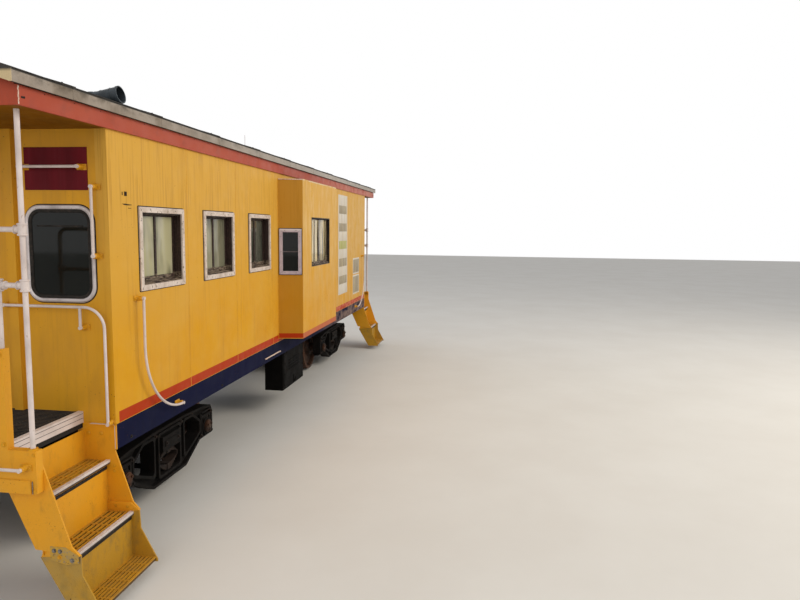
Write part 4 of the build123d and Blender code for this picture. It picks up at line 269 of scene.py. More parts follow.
RECIPES = {
    # Alkyd enamel sprayed on steel sheet: satin, chalky where the sun has bleached it, streaked by rain, and paler
    # towards end b as painted sheen
    "body_yellow_enamel": coat(
        "yellow",
        *body_layers(1.165, 1.256, 4.86, CABIN),
        rough=(0.4, 0.6), Specular_IOR_Level=0.12, relief=Grain(400, stretch=(1, 1, 0.7), detail=2), depth=5.0,
    ),
    "bay_yellow_enamel": coat(
        "yellow",
        *body_layers(1.2, 1.278, 6.0, BAY_INSIDE),
        # Painted shade: the slanted faces darker above the stripe
        ("#A8700C", 0.55, SLANT_FACE, Band("Z", 1.278, 1.2795)),
        # Painted sunlight: the flat face paler, in streaks, with a paler pink stripe
        ("#CFA253", 0.7, FLAT_FACE, Grain(170, 0.38, 0.6, (1, 1, 3.5), 5), Band("Z", 1.5, 1.9)),
        ("#E0C48C", 0.45, FLAT_FACE, Grain(60, 0.5, 0.66, (1, 1, 7), 6), Band("Z", 1.7, 2.4)),
        ("#B8643C", 0.9, FLAT_FACE, *striped(1.2, 1.278, 6.0)),
        ("#D8C6A4", 0.9, FLAT_FACE, Band("Z", 3.338, 3.34), Grain(30, 0.38, 0.5, (4, 1, 1))),
        rough=(0.4, 0.6), Specular_IOR_Level=0.12, relief=Grain(400, stretch=(1, 1, 0.7), detail=2), depth=3.0,
    ),
    # The same enamel brushed on: duller, with soot under the hood
    "end_yellow_enamel": coat(
        "yellow",
        ("#CF962F", 0.8, BLEACH),
        ("#B07F2A", 0.6, SOOTED),
        ("#8A6424", 0.22, RUNS, WIDE_RUNS),
        *CHIPPED,
        ("#241F1B", 1.0, *END_INSIDE),
        rough=(0.4, 0.62), relief=Grain(300, detail=2), depth=2.5,
    ),
    # The same enamel overhead, never washed by rain: its yellow is painted dark brown as the shade under the hood, with
    # sooty blotches over it
    "ceiling_enamel_painted_shade": coat(
        "#7C4E08",
        ("#8E5E12", 0.7, Grain(500, 0.4, 0.7)),
        ("#5A3A0A", 0.8, SOOTED),
        *CHIPPED,
        rough=(0.5, 0.7), Specular_IOR_Level=0.1, relief=Grain(300, detail=2), depth=2.5,
    ),
    # Thick brushed enamel that feet have scuffed
    "step_yellow_enamel": coat(
        "step_yellow",
        ("#D89C2A", 0.7, Grain(300, 0.4, 0.7)),
        ("#A87826", 0.6, Grain(90, 0.56, 0.8, (1, 1, 2), 5)),
        ("#8A5A22", 0.8, Grain(14, 0.62, 0.7, detail=6), PATCHES),
        *CHIPPED,
        rough=(0.36, 0.6), relief=Grain(9), depth=0.7,
    ),
    "low_step_enamel_dusty": coat(
        "#B88A24",
        ("#A58C50", 0.9, Band("X", 5.655, 5.668, True), Grain(260, 0.3, 0.5)),
        ("#8A7038", 0.7, Grain(80, 0.48, 0.72, (1, 1, 2), 5)),
        ("#7F7668", 0.9, Band("X", 5.655, 5.668, True), Band("Z", 0.42, 0.47), Grain(60, 0.42, 0.56)),
        ("#6E4A26", 0.9, Grain(14, 0.64, 0.7, detail=6)),
        *CHIPPED,
        rough=(0.5, 0.72), relief=Grain(9), depth=0.8,
    ),
    # Splice plates: enamel rubbed thin, with grey primer where it has flaked off round the bolts
    "splice_plate_worn": coat(
        "#BF9638",
        ("#A58C58", 0.8, Grain(60, 0.45, 0.62)),
        ("#8E8474", 0.9, Grain(22, 0.58, 0.64, detail=6)),
        ("#6A4426", 0.9, Grain(14, 0.6, 0.68)),
        rough=(0.55, 0.75), relief=Grain(9), depth=0.5,
    ),
    # Treads: enamel on the bars' tops with rust spots, and the bars' sides painted dark brown as the shade in the slots
    # between them
    "tread_enamel_worn": coat(
        "#C48E22",
        ("#A87C30", 0.9, Grain(120, 0.4, 0.7)),
        ("#6A4420", 0.6, Grain(18, 0.6, 0.7, detail=6)),
        # Painted shade: dark bands just under the bars' tops
        ("#3A2814", 0.9, Band("Z", 0.866, 0.862), Band("Z", 0.846, 0.85)),
        ("#3A2814", 0.9, Band("Z", 0.466, 0.462), Band("Z", 0.446, 0.45)),
        ("#3A2814", 0.9, Band("Z", 0.112, 0.108)),
        rough=(0.45, 0.7), relief=Grain(5), depth=0.8,
    ),
    # Vermilion enamel faded to brick; the pink towards end b is painted sheen
    "fascia_vermilion_enamel": coat(
        "vermilion",
        ("#AE5238", 0.8, BLEACH),
        ("#BE7C68", 0.75, Band("X", -1.0, 5.0), Grain(150, 0.34, 0.6)),
        ("#8A3E2A", 0.5, Grain(36, 0.52, 0.7, (4, 1, 4), 5)),
        *CHIPPED,
        rough=(0.42, 0.62), relief=Grain(260, detail=2), depth=1.5,
    ),
    # Dark blue enamel; the grey-mauve towards end b is painted sheen
    "sill_blue_enamel": coat(
        "sill_blue",
        ("#14172E", 0.8, BLEACH),
        ("#8E766C", 0.9, Band("X", 0.9, 3.2), Grain(120, 0.36, 0.6, (2, 1, 1))),
        ("#0D1024", 0.6, RUNS),
        *CHIPPED,
        rough=(0.72, 0.88), Specular_IOR_Level=0.1, relief=Grain(200, detail=2), depth=1.0,
    ),
    "panel_maroon_enamel": coat(
        "#660C18",
        ("#701622", 0.8, BLEACH),
        ("#4E0A14", 0.6, WIDE_RUNS),
        ("#6E2A32", 0.3, RUNS),
        rough=(0.5, 0.65), Specular_IOR_Level=0.15, relief=Grain(80), depth=0.4,
    ),
    "pipe_off_white_enamel": off_white(),
    "railing_off_white_enamel": off_white(Band("Z", 1.238, 1.2365)),
    # Nosings: the lower half of the lip is painted dark as the shadow under its white edge
    "step_nosing_enamel": off_white(
        dark=(
            ("#2A2119", 0.95, Band("Z", 0.862, 0.8605), Band("Z", 0.84, 0.841)),
            ("#2A2119", 0.95, Band("Z", 0.462, 0.4605)),
        )
    ),
    "end_rail_enamel": off_white(Band("X", 4.955, 4.951, True)),
    "side_rail_enamel": off_white(Band("Y", 1.476, 1.472, True)),
    "sill_iron_enamel": off_white(Band("X", 5.795, 5.791, True)),
    # Cast brackets and bolts under several coats of yellow, so their edges look soft
    "bracket_yellow_enamel": coat(
        "yellow",
        ("#C48A22", 0.8, Grain(40, 0.4, 0.7)),
        ("#7A4E20", 0.9, Grain(10, 0.62, 0.7, detail=6)),
        rough=(0.36, 0.55), relief=Grain(7), depth=0.6,
    ),
    # Hot-rolled grating under a black anti-slip coating: grit drawn at 5 mm, worn grey on top
    "grating_black_grit": coat(
        "#1B1918",
        ("#2C2927", 1.0, Grain(5, 0.5, 0.7)),
        ("#453E37", 0.85, Band("Z", 1.247, 1.2494), Grain(160, 0.26, 0.5, detail=5)),
        rough=(0.62, 0.82), relief=Grain(5), depth=1.2,
    ),
    # Black paint and rusted cast steel, both darkened to near black as painted shade under the car
    "underbody_black_paint": rusted("#050403", "#0C0907", "#161310", Specular_IOR_Level=0.1),
    "side_frame_cast_steel": rusted("#080605", "#130E0B", "#221D18", Specular_IOR_Level=0.15),
    "spring_steel_rusted": rusted("#120D0A", "#2A1C15", "#2E2822"),
    "coupler_cast_steel": rusted("#2A1C15", "#553828"),
    # Forged wheel steel, with the metal near the surface where the tread ran
    "wheel_forged_steel": rusted("#30231C", "#5C3B28", rough=(0.55, 0.75), Metallic=0.35),
    # Galvanised bolts and washers, weathered to grey
    "bolt_galvanised": coat(
        "#8C8A86",
        ("#5E5348", 0.9, Grain(12, 0.45, 0.65)),
        ("#6B3F22", 0.8, Grain(8, 0.6, 0.68)),
        rough=(0.4, 0.6), relief=Grain(4), depth=0.3, Metallic=0.7,
    ),
    # Extruded aluminium, mill finish, turned chalky and pitted, dark in its pits
    "window_aluminium_chalky": coat(
        "#DACCC2",
        ("#B5A394", 0.8, Grain(120, 0.42, 0.68, detail=5)),
        ("#93806E", 0.8, Grain(16, 0.56, 0.66, (1.6, 1, 1.6), 6)),
        ("#4E3E32", 0.9, Grain(16, 0.66, 0.72, (1.6, 1, 1.6), 6)),
        rough=(0.45, 0.7), relief=Grain(14, 0.4, 0.7), depth=0.8, Metallic=0.25,
    ),
    # Anodised aluminium round the end windows: cleaner, pale and satin
    "end_window_aluminium": coat(
        "#CBC4C4",
        ("#A79E9C", 0.9, Grain(150, 0.42, 0.7)),
        ("#6E665F", 0.7, Grain(18, 0.62, 0.7, detail=6)),
        rough=(0.3, 0.45), relief=Grain(60), depth=0.2, Metallic=0.35,
    ),
    # Mauve-white enamel on the slanted windows' frames, newer than the rest
    "bay_frame_pale_enamel": coat(
        "#BDB2BE",
        ("#A297A6", 0.9, Grain(140, 0.42, 0.7)),
        ("#D8D2D6", 0.8, Band("Z", 2.66, 2.68)),
        ("#3A3436", 0.9, *MEETING_RAIL),
        rough=(0.35, 0.5), relief=Grain(8), depth=0.3,
    ),
    # Dark brown alkyd paint on the sashes, peeled to grey wood on the low rail
    "sash_brown_alkyd": coat(
        "#2B1D18",
        ("#453029", 0.9, Grain(20, 0.45, 0.7, (1.6, 1, 1), 6)),
        ("#857562", 0.9, Band("Z", 2.295, 2.28), Grain(30, 0.42, 0.58, (3, 1, 0.5), 6)),
        ("#857562", 0.5, Band("Z", 2.795, 2.8), Grain(30, 0.5, 0.6, (3, 1, 0.5), 6)),
        rough=(0.5, 0.7), relief=Grain(20, stretch=(1.6, 1, 1), detail=6), depth=1.2,
    ),
    # Safety glass over the dark cabin; the pale layers on the side and bay panes are painted reflection and painted
    # sunlight on a film of dust
    "pane_safety_glass": coat(
        "#0A0F0C",
        ("#2A2C24", 0.4, Grain(300, 0.35, 0.8, detail=5)),
        # Painted reflection: pale colour on the side and bay panes
        ("#7A7A6C", 0.8, *SIDE_PANES, Grain(420, 0.3, 0.6, (1, 1, 2), 3)),
        ("#DAD4AA", 0.92, *SIDE_PANES, Band("X", 2.4, 3.4, True), Grain(420, 0.3, 0.55, (1, 1, 2), 3)),
        ("#D2CCB4", 0.6, *SIDE_PANES, Band("X", 1.8, 3.4, True), Grain(120, 0.5, 0.62, (0.5, 1, 5), 2)),
        ("#F0DEB0", 1.0, *BAY_PANES, Grain(200, 0.32, 0.54, (0.5, 1, 4), 2)),
        rough=(0.02, 0.08), IOR=1.5, Specular_IOR_Level=0.15, Transmission_Weight=0.4,
    ),
    # Bitumen paint on the roof, and worn grey enamel streaked with soot on its vertical edge, which is paler towards
    # end b as painted sheen
    "roof_bitumen_and_edge": coat(
        "#2E2D2A",
        ("#4A4742", 0.9, Grain(500, 0.45, 0.72)),
        ("#5A564E", 0.6, Grain(40, 0.56, 0.7, (1, 6, 1), 5)),
        ("#9C9186", 1.0, *EDGE),
        ("#7C7062", 0.9, *EDGE, Grain(260, 0.4, 0.65)),
        ("#4E463A", 0.8, *EDGE, Grain(45, 0.48, 0.64, (3, 1, 2), 5), Band("Z", 3.56, 3.61)),
        # Painted sheen: the edge paler towards end b
        ("#B4AFAA", 0.7, *EDGE, Band("X", -4.5, 0.5)),
        ("#C8B48C", 1.0, Band("X", 5.924, 5.928, True), Band("Z", 3.62, 3.6)),
        rough=(0.6, 0.85), relief=Grain(12, detail=5), depth=1.5,
    ),
    # Heat-proof paint on the rolled stack, dusted where rain dries
    "stack_rolled_sheet": coat(
        "#2A3136",
        ("#49525A", 0.9, Grain(120, 0.45, 0.72, detail=5)),
        ("#5E4A3A", 0.7, Grain(16, 0.62, 0.7)),
        rough=(0.42, 0.62), relief=Grain(9), depth=0.6,
    ),
    # Cotton curtain: the 1 mm threads are drawn 3 mm apart so that the weave shows
    "curtain_cotton_woven": coat(
        "#D9D0B4",
        ("#BDB394", 0.8, Grain(3, 0.35, 0.65, (1, 1, 12), 2)),
        ("#EDE6CF", 0.6, Grain(3, 0.4, 0.7, (12, 1, 1), 2)),
        ("#B3A47E", 0.5, Grain(220, 0.5, 0.75)),
        rough=(0.85, 0.95), relief=Grain(3, stretch=(1, 1, 12), detail=2), depth=0.3,
        Sheen_Weight=0.3, Sheen_Roughness=0.5,
    ),
    # Extruded rubber and old caulk, cracked and greyed
    "seal_rubber_black": coat(
        "#15120F",
        ("#332B25", 0.9, Grain(30, 0.45, 0.7, detail=5)),
        ("#55463A", 0.6, Grain(9, 0.6, 0.7)),
        rough=(0.6, 0.85), relief=Grain(9), depth=0.5,
    ),
    "seam_sealant_pale": coat(
        "#E0CFC0",
        ("#C79A84", 0.9, Grain(14, 0.45, 0.6)),
        ("#8A6A50", 0.8, Grain(9, 0.58, 0.68)),
        rough=(0.5, 0.7), relief=Grain(6), depth=0.8,
    ),
    "vinyl_pale": vinyl("#D6D0C8"),
    "vinyl_grey": vinyl("#8F8676"),
    "vinyl_green": vinyl("#A9AE62"),
    # Matt painted board, pale and plain, lightly mottled so that it has a surface
    "studio_floor_board": coat("#E4E2DE", ("#DEDBD6", 0.7, Grain(1500, 0.35, 0.65)), rough=(0.88, 0.94)),
}

# The frame's nodes that wear each finish
CAD_FINISHES = {
    "body_yellow_enamel": "side_wall_right side_wall_left",
    "bay_yellow_enamel": "bay_right bay_left",
    "end_yellow_enamel": "end_wall_a end_wall_b door_a door_b brake_housings brake_wheels",
    "ceiling_enamel_painted_shade": "platform_ceilings",
    "step_yellow_enamel": "end_sills step_frames_a step_frames_b",
    "low_step_enamel_dusty": "lower_steps",
    "tread_enamel_worn": "step_treads",
    "fascia_vermilion_enamel": "fascia",
    "sill_blue_enamel": "side_sills",
    "panel_maroon_enamel": "end_panels",
    "underbody_black_paint": "centre_sill body_bolsters cross_bearers floor battery_box air_brake_gear",
    "side_frame_cast_steel": "side_frames_a side_frames_b truck_bolster_a truck_bolster_b brake_beams_a brake_beams_b",
    "spring_steel_rusted": "leaf_springs_a leaf_springs_b",
    "coupler_cast_steel": "coupler_a coupler_b knuckle_a knuckle_b",
    "railing_off_white_enamel": "end_railing_a end_railing_b",
    "end_rail_enamel": "end_handrails",
    "side_rail_enamel": "side_handrails",
    "sill_iron_enamel": "sill_irons",
    "pipe_off_white_enamel": "deck_nosings antenna",
    "step_nosing_enamel": "step_nosings",
    "grating_black_grit": "platform_decks",
    "wheel_forged_steel": "wheelset_a1 wheelset_a2 wheelset_b1 wheelset_b2",
    "window_aluminium_chalky": "side_window_frames",
    "bay_frame_pale_enamel": "bay_window_frames",
    "sash_brown_alkyd": "window_sashes",
    "pane_safety_glass": "window_glass door_glass_a door_glass_b",
    "roof_bitumen_and_edge": "roof",
    "stack_rolled_sheet": "smokejack",
}
FINISHES = {}


def finish_of(name):
    """The material of a finish, made once."""
    if name not in FINISHES:
        FINISHES[name] = make_finish(name, **RECIPES[name])
    return FINISHES[name]


def frame_at(point, outward):
    """A frame at a point: z outward, y as near up as it can be, and x to the right."""
    out = Vector(outward).normalized()
    upward = Vector((0, 1, 0)) if abs(out.z) > 0.99 else Vector((0, 0, 1))
    right = upward.cross(out).normalized()
    return Matrix.Translation(point) @ Matrix((right, out.cross(right), out)).transposed().to_4x4()


def moved(frame_here, x=0.0, y=0.0, z=0.0, turn=0.0):
    """A frame moved within itself, and turned about its own z."""
    return frame_here @ Matrix.Translation((x, y, z)) @ Matrix.Rotation(turn, 4, "Z")


def on_end(end, x, y, z):
    """A frame that faces out from an end, x from the middle."""
    return frame_at((end * x, y, z), (end, 0, 0))


def on_side(side, x, y, z):
    """A frame that faces out from a side, y from the middle."""
    return frame_at((x, side * y, z), (0, side, 0))


def on_slant(end, side, z):
    """A frame in the middle of a bay's slanted face."""
    return frame_at((end * SLANT_X, side * SLANT_Y, z), (end * SLANT_RUN, side * BAY_SLANT, 0))


def on_top(x, y, z):
    """A frame that faces up."""
    return frame_at((x, y, z), (0, 0, 1))


def ring(count, radius, first=0.0):
    """Points spaced evenly round a circle."""
    for step in range(count):
        angle = first + step * math.tau / count
        yield radius * math.cos(angle), radius * math.sin(angle)


def as_template(mesh):
    """Close a shape's seams, face it outwards and keep it for stamping."""
    bmesh.ops.remove_doubles(mesh, verts=mesh.verts[:], dist=WELD)
    bmesh.ops.recalc_face_normals(mesh, faces=mesh.faces[:])
    data = bpy.data.meshes.new("template")
    mesh.to_mesh(data)
    mesh.free()
    return data


def stamped(build):
    """Let a shape, built once for each size, be stamped at a frame: a list of one template and its frame."""
    template = functools.lru_cache(maxsize=None)(build)

    @functools.wraps(build)
    def stamp(place, *sizes, **more):
        return [(template(*sizes, **more), place)]

    return stamp


@stamped
def turned(*profile, steps=12):
    """A shape spun from (radius, height) points about z."""
    mesh = bmesh.new()
    verts = [mesh.verts.new((radius, 0, height)) for radius, height in profile]
    edges = [mesh.edges.new(pair) for pair in zip(verts, verts[1:])]
    centre = {"cent": (0, 0, 0), "axis": (0, 0, 1), "dvec": (0, 0, 0)}
    bmesh.ops.spin(mesh, geom=verts + edges, angle=math.tau, steps=steps, use_merge=True, **centre)
    return as_template(mesh)


@stamped
def bar(width, height, depth, edge=0.002):
    """A bar with rounded edges, its back in the frame's plane."""
    mesh = bmesh.new()
    place = Matrix.Translation((0, 0, depth / 2)) @ Matrix.Diagonal((width, height, depth, 1))
    bmesh.ops.create_cube(mesh, size=1, matrix=place)
    edge = min(edge, 0.4 * min(width, height, depth))
    bmesh.ops.bevel(mesh, geom=mesh.edges[:], offset=edge, **EASED)
    return as_template(mesh)


@stamped
def plate(outline, depth, edge=0.001):
    """A flat plate from its outline, with its edges eased."""
    mesh = bmesh.new()
    face = mesh.faces.new([mesh.verts.new((x, y, 0)) for x, y in outline])
    raised = bmesh.ops.extrude_face_region(mesh, geom=[face])["geom"]
    corners = [item for item in raised if isinstance(item, bmesh.types.BMVert)]
    bmesh.ops.translate(mesh, vec=(0, 0, depth), verts=corners)
    bmesh.ops.bevel(mesh, geom=mesh.edges[:], offset=edge, **EASED)
    return as_template(mesh)


@stamped
def moulding(width, height, corner, section, steps=6):
    """A moulding round a rounded rectangle; its section is (outward, off the wall) points."""
    mesh = bmesh.new()
    verts = [mesh.verts.new((corner - width / 2, height / 2 + out, off)) for out, off in section]
    edges = [mesh.edges.new(pair) for pair in zip(verts, verts[1:] + verts[:1])]
    for across, down, side in ((1, 0, width), (0, -1, height), (-1, 0, width), (0, 1, height)):
        grown = bmesh.ops.extrude_edge_only(mesh, edges=edges)["geom"]
        verts = [item for item in grown if isinstance(item, bmesh.types.BMVert)]
        fresh = set(verts)
        edges = [item for item in grown if isinstance(item, bmesh.types.BMEdge) and set(item.verts) <= fresh]
        run = side - 2 * corner
        bmesh.ops.translate(mesh, vec=(across * run, down * run, 0), verts=verts)
        right, top = across - down, across + down
        centre = (right * (width / 2 - corner), top * (height / 2 - corner), 0)
        turn = {"cent": centre, "axis": (0, 0, -1), "dvec": (0, 0, 0), "angle": math.pi / 2, "steps": steps}
        last = bmesh.ops.spin(mesh, geom=verts + edges, **turn)["geom_last"]
        edges = [item for item in last if isinstance(item, bmesh.types.BMEdge)]
    return as_template(mesh)


@stamped
def bent(points, radius, sides=3):
    """A round bar bent smoothly along points."""
    curve = bpy.data.curves.new("bent_bar", "CURVE")
    curve.dimensions, curve.bevel_depth, curve.bevel_resolution = "3D", radius, sides
    curve.use_fill_caps = True
    spline = curve.splines.new("NURBS")
    spline.points.add(len(points) - 1)
    for spot, place in zip(spline.points, points):
        spot.co = (*place, 1)
    spline.order_u, spline.use_endpoint_u, spline.resolution_u = 3, True, 6
    holder = bpy.data.objects.new("bent_bar", curve)
    data = bpy.data.meshes.new_from_object(holder)
    bpy.data.objects.remove(holder)
    mesh = bmesh.new()
    mesh.from_mesh(data)
    return as_template(mesh)


def bolt(place, width=None, turn=0.0):
    """A hexagon head, width across its flats, on a washer."""
    w = width or bpy.context.scene.caboose_sizes.bolt_width
    washer = turned(place, (0, 0), (0.95 * w, 0), (0.95 * w, 0.13 * w), (0, 0.13 * w))
    head = ((0, 0.1 * w), (0.58 * w, 0.1 * w), (0.58 * w, 0.6 * w), (0.48 * w, 0.7 * w), (0, 0.7 * w))
    return washer + turned(moved(place, turn=turn), *head, steps=6)


def rivet(place, width=None):
    """A low domed head."""
    w = width or bpy.context.scene.caboose_sizes.rivet_width
    dome = ((0, 0), (0.5 * w, 0), (0.44 * w, 0.18 * w), (0.25 * w, 0.31 * w), (0, 0.36 * w))
    return turned(place, *dome, steps=8)


def rod(start, finish, radius, steps=12):
    """A straight round bar with eased ends."""
    run = Vector(finish) - Vector(start)
    ease = radius * 0.3
    shape = ((0, 0), (radius - ease, 0), (radius, ease), (radius, run.length - ease), (radius - ease, run.length))
    return turned(frame_at(start, run), *shape, (0, run.length), steps=steps)


def collar(centre, axis, inner, outer, length):
    """A raised ring round a pipe."""
    half = length / 2
    shape = ((0, -half), (inner, -half), (outer, -half * 0.5), (outer, half * 0.5), (inner, half), (0, half))
    return turned(frame_at(centre, axis), *shape, steps=16)


def make_piece(name, finish, parts, stands_for=(), body="carbody"):
    """Join templates at their frames into one piece that rides on a body."""
    mesh = bmesh.new()
    for template, place in parts:
        start = len(mesh.verts)
        mesh.from_mesh(template)
        mesh.verts.ensure_lookup_table()
        bmesh.ops.transform(mesh, matrix=place, verts=mesh.verts[start:])
    return keep_piece(name, finish, mesh, stands_for, body)


def keep_piece(name, finish, mesh, stands_for=(), body="carbody"):
    """Shade a finished mesh, link it as a piece with its finish and let it ride on its body."""
    for face in mesh.faces:
        face.smooth = True
    for edge in mesh.edges:
        edge.smooth = edge.is_manifold and edge.calc_face_angle(0.0) < CREASE
    data = bpy.data.meshes.new(name)
    mesh.to_mesh(data)
    mesh.free()
    data.materials.append(finish_of(finish))
    piece = bpy.data.objects.new(name, data)
    bpy.context.scene.collection.objects.link(piece)
    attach(piece, body)
    if stands_for:
        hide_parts(*stands_for)
    return piece


def roof_z(y):
    """Height of the roof's top at a distance from the middle."""
    return CROWN - ROOF_RADIUS + math.sqrt(ROOF_RADIUS**2 - y**2)


def side_window_frames():
    """Frame, width and height of each framed side window."""
    for side in (-1, 1):
        for x, width in SIDE_WINDOWS:
            yield on_side(side, x, HALF_WIDTH, SIDE_WINDOW_Z), width, SIDE_WINDOW_HEIGHT


def slant_window_frames():
    """Frame, width and height of each window in the bays' slanted faces."""
    for side, end in CORNERS:
        yield on_slant(end, side, SLANT_WINDOW_Z), *SLANT_WINDOW_SIZE


class CaboosePaint(bpy.types.PropertyGroup):
    """The caboose's colours."""

    yellow: FloatVectorProperty(
        name="Body yellow", description="Enamel of the body and ends", default=linear("#D79C1C")[:3], subtype="COLOR"
    )
    bleached_yellow: FloatVectorProperty(
        name="Bleached yellow", description="The same enamel in the sun", default=linear("#D2A348")[:3], subtype="COLOR"
    )
    step_yellow: FloatVectorProperty(
        name="Step yellow", description="Enamel of steps and end sills", default=linear("#E29E1C")[:3], subtype="COLOR"
    )
    stripe: FloatVectorProperty(
        name="Stripe", description="Stripe along the foot of the body", default=linear("#AC3406")[:3], subtype="COLOR"
    )
    vermilion: FloatVectorProperty(
        name="Vermilion", description="Band under the eaves", default=linear("#A23C20")[:3], subtype="COLOR"
    )
    sill_blue: FloatVectorProperty(
        name="Sill blue", description="Enamel of the side sills", default=linear("#0C1030")[:3], subtype="COLOR"
    )
    off_white: FloatVectorProperty(
        name="Off white", description="Enamel of the pipes and nosings", default=linear("#DCD0CC")[:3], subtype="COLOR"
    )


class CabooseSizes(bpy.types.PropertyGroup):
    """Sizes of the fittings."""

    bolt_width: FloatProperty(
        name="Bolt width", description="Across the flats of a common bolt head", default=0.022, unit="LENGTH"
    )
    rivet_width: FloatProperty(name="Rivet width", description="Across a rivet head", default=0.016, unit="LENGTH")
    caulk_width: FloatProperty(
        name="Caulk width", description="Bead round the window frames", default=0.009, unit="LENGTH"
    )
    pleat_count: IntProperty(name="Pleats", description="Pleats in one curtain", default=20)
    pleat_depth: FloatProperty(
        name="Pleat depth", description="How far a pleat stands from the middle", default=0.0068, unit="LENGTH"
    )
    panel_count: IntProperty(name="Faded panels", description="Rectangles in the column at the far end", default=11)


class CabooseStage(bpy.types.PropertyGroup):
    """Camera and light values."""

    camera_place: FloatVectorProperty(
        name="Camera place",
        description="Where the photograph was taken from",
        default=(-9.5468, -4.3115, 2.7021),
        unit="LENGTH",
    )
    camera_heading: FloatProperty(
        name="Heading", description="Turn of the view from +X towards +Y", default=0.1429, unit="ROTATION"
    )
    camera_dip: FloatProperty(name="Dip", description="How far the view points down", default=0.1068, unit="ROTATION")
    camera_roll: FloatProperty(name="Roll", description="Tilt of the frame", default=0.0111, unit="ROTATION")
    lens: FloatProperty(name="Lens", description="Focal length in mm on a 36 mm wide frame", default=29.669)
    key_power: FloatProperty(name="Key power", description="Watts of the large key light", default=1450.0)


def area_light(name, place, target, size, power, colour):
    """A rectangular studio light aimed at a point."""
    data = bpy.data.lights.new(name, "AREA")
    data.shape, data.size, data.size_y, data.energy = "RECTANGLE", size[0], size[1], power
    data.color = linear(colour)[:3]
    light = bpy.data.objects.new(name, data)
    aim = (Vector(target) - Vector(place)).to_track_quat("-Z", "Y")
    light.matrix_world = Matrix.Translation(place) @ aim.to_matrix().to_4x4()
    bpy.context.scene.collection.objects.link(light)


class CABOOSE_OT_stage(bpy.types.Operator):
    """Set up the camera, the lights and the pale floor"""

    bl_idname = "caboose.stage"
    bl_label = "Stage"

    def execute(self, context):
        """Build the stage from the scene's settings."""
        scene, settings = context.scene, context.scene.caboose_stage
        heading, dip, roll = settings.camera_heading, settings.camera_dip, settings.camera_roll
        forward = Vector((math.cos(heading) * math.cos(dip), math.sin(heading) * math.cos(dip), -math.sin(dip)))
        level = Vector((math.sin(heading), -math.cos(heading), 0))
        upward = level.cross(forward)
        right = math.cos(roll) * level + math.sin(roll) * upward
        top = math.cos(roll) * upward - math.sin(roll) * level
        data = bpy.data.cameras.new("photo_camera")
        data.lens, data.sensor_width, data.clip_end = settings.lens, 36.0, 200.0
        camera = bpy.data.objects.new("photo_camera", data)
        turn = Matrix((right, top, -forward)).transposed().to_4x4()
        camera.matrix_world = Matrix.Translation(settings.camera_place) @ turn
        scene.collection.objects.link(camera)
        scene.camera = camera
        mesh = bmesh.new()
        bmesh.ops.create_grid(mesh, x_segments=4, y_segments=4, size=60)
        data = bpy.data.meshes.new("studio_floor")
        mesh.to_mesh(data)
        mesh.free()
        data.materials.append(finish_of("studio_floor_board"))
        ground = bpy.data.objects.new("studio_floor", data)
        scene.collection.objects.link(ground)
        power = settings.key_power
        area_light("key", (-1.5, -16.0, 10.0), (0, 0, 1.8), (12, 8), power, "#FFF6E6")
        area_light("fill", (-16.0, -2.0, 6.0), (-4, 0, 1.6), (9, 7), power * 0.27, "#FFF8F0")
        area_light("back", (6.0, 15.0, 9.0), (0, 0, 1.8), (14, 8), power * 0.4, "#F0F3FF")
        world = bpy.data.worlds.new("studio")
        world.use_nodes = True
        tree = world.node_tree
        tree.nodes.clear()
        path = add_node(tree, "ShaderNodeLightPath").outputs
        seen = path["Is Camera Ray"]
        for ray in ("Is Glossy Ray", "Is Transmission Ray"):
            seen = add_node(tree, "ShaderNodeMath", {0: seen, 1: path[ray]}, operation="MAXIMUM").outputs[0]
        sockets = {"Value": seen, "To Min": 0.5, "To Max": 1.0}
        strength = add_node(tree, "ShaderNodeMapRange", sockets).outputs["Result"]
        sky = add_node(tree, "ShaderNodeBackground", {"Color": (1, 1, 1, 1), "Strength": strength})
        add_node(tree, "ShaderNodeOutputWorld", {"Surface": sky.outputs["Background"]})
        scene.world = world
        scene.view_settings.view_transform = "Standard"
        return {"FINISHED"}


class CABOOSE_OT_frame_paint(bpy.types.Operator):
    """Give every carried-over frame node its finish"""

    bl_idname = "caboose.frame_paint"
    bl_label = "Frame paint"

    def execute(self, context):
        """Assign the finish of each node."""
        for finish, names in CAD_FINISHES.items():
            for name in names.split():
                data = NODES[name].data
                data.materials.clear()
                data.materials.append(finish_of(finish))
        return {"FINISHED"}


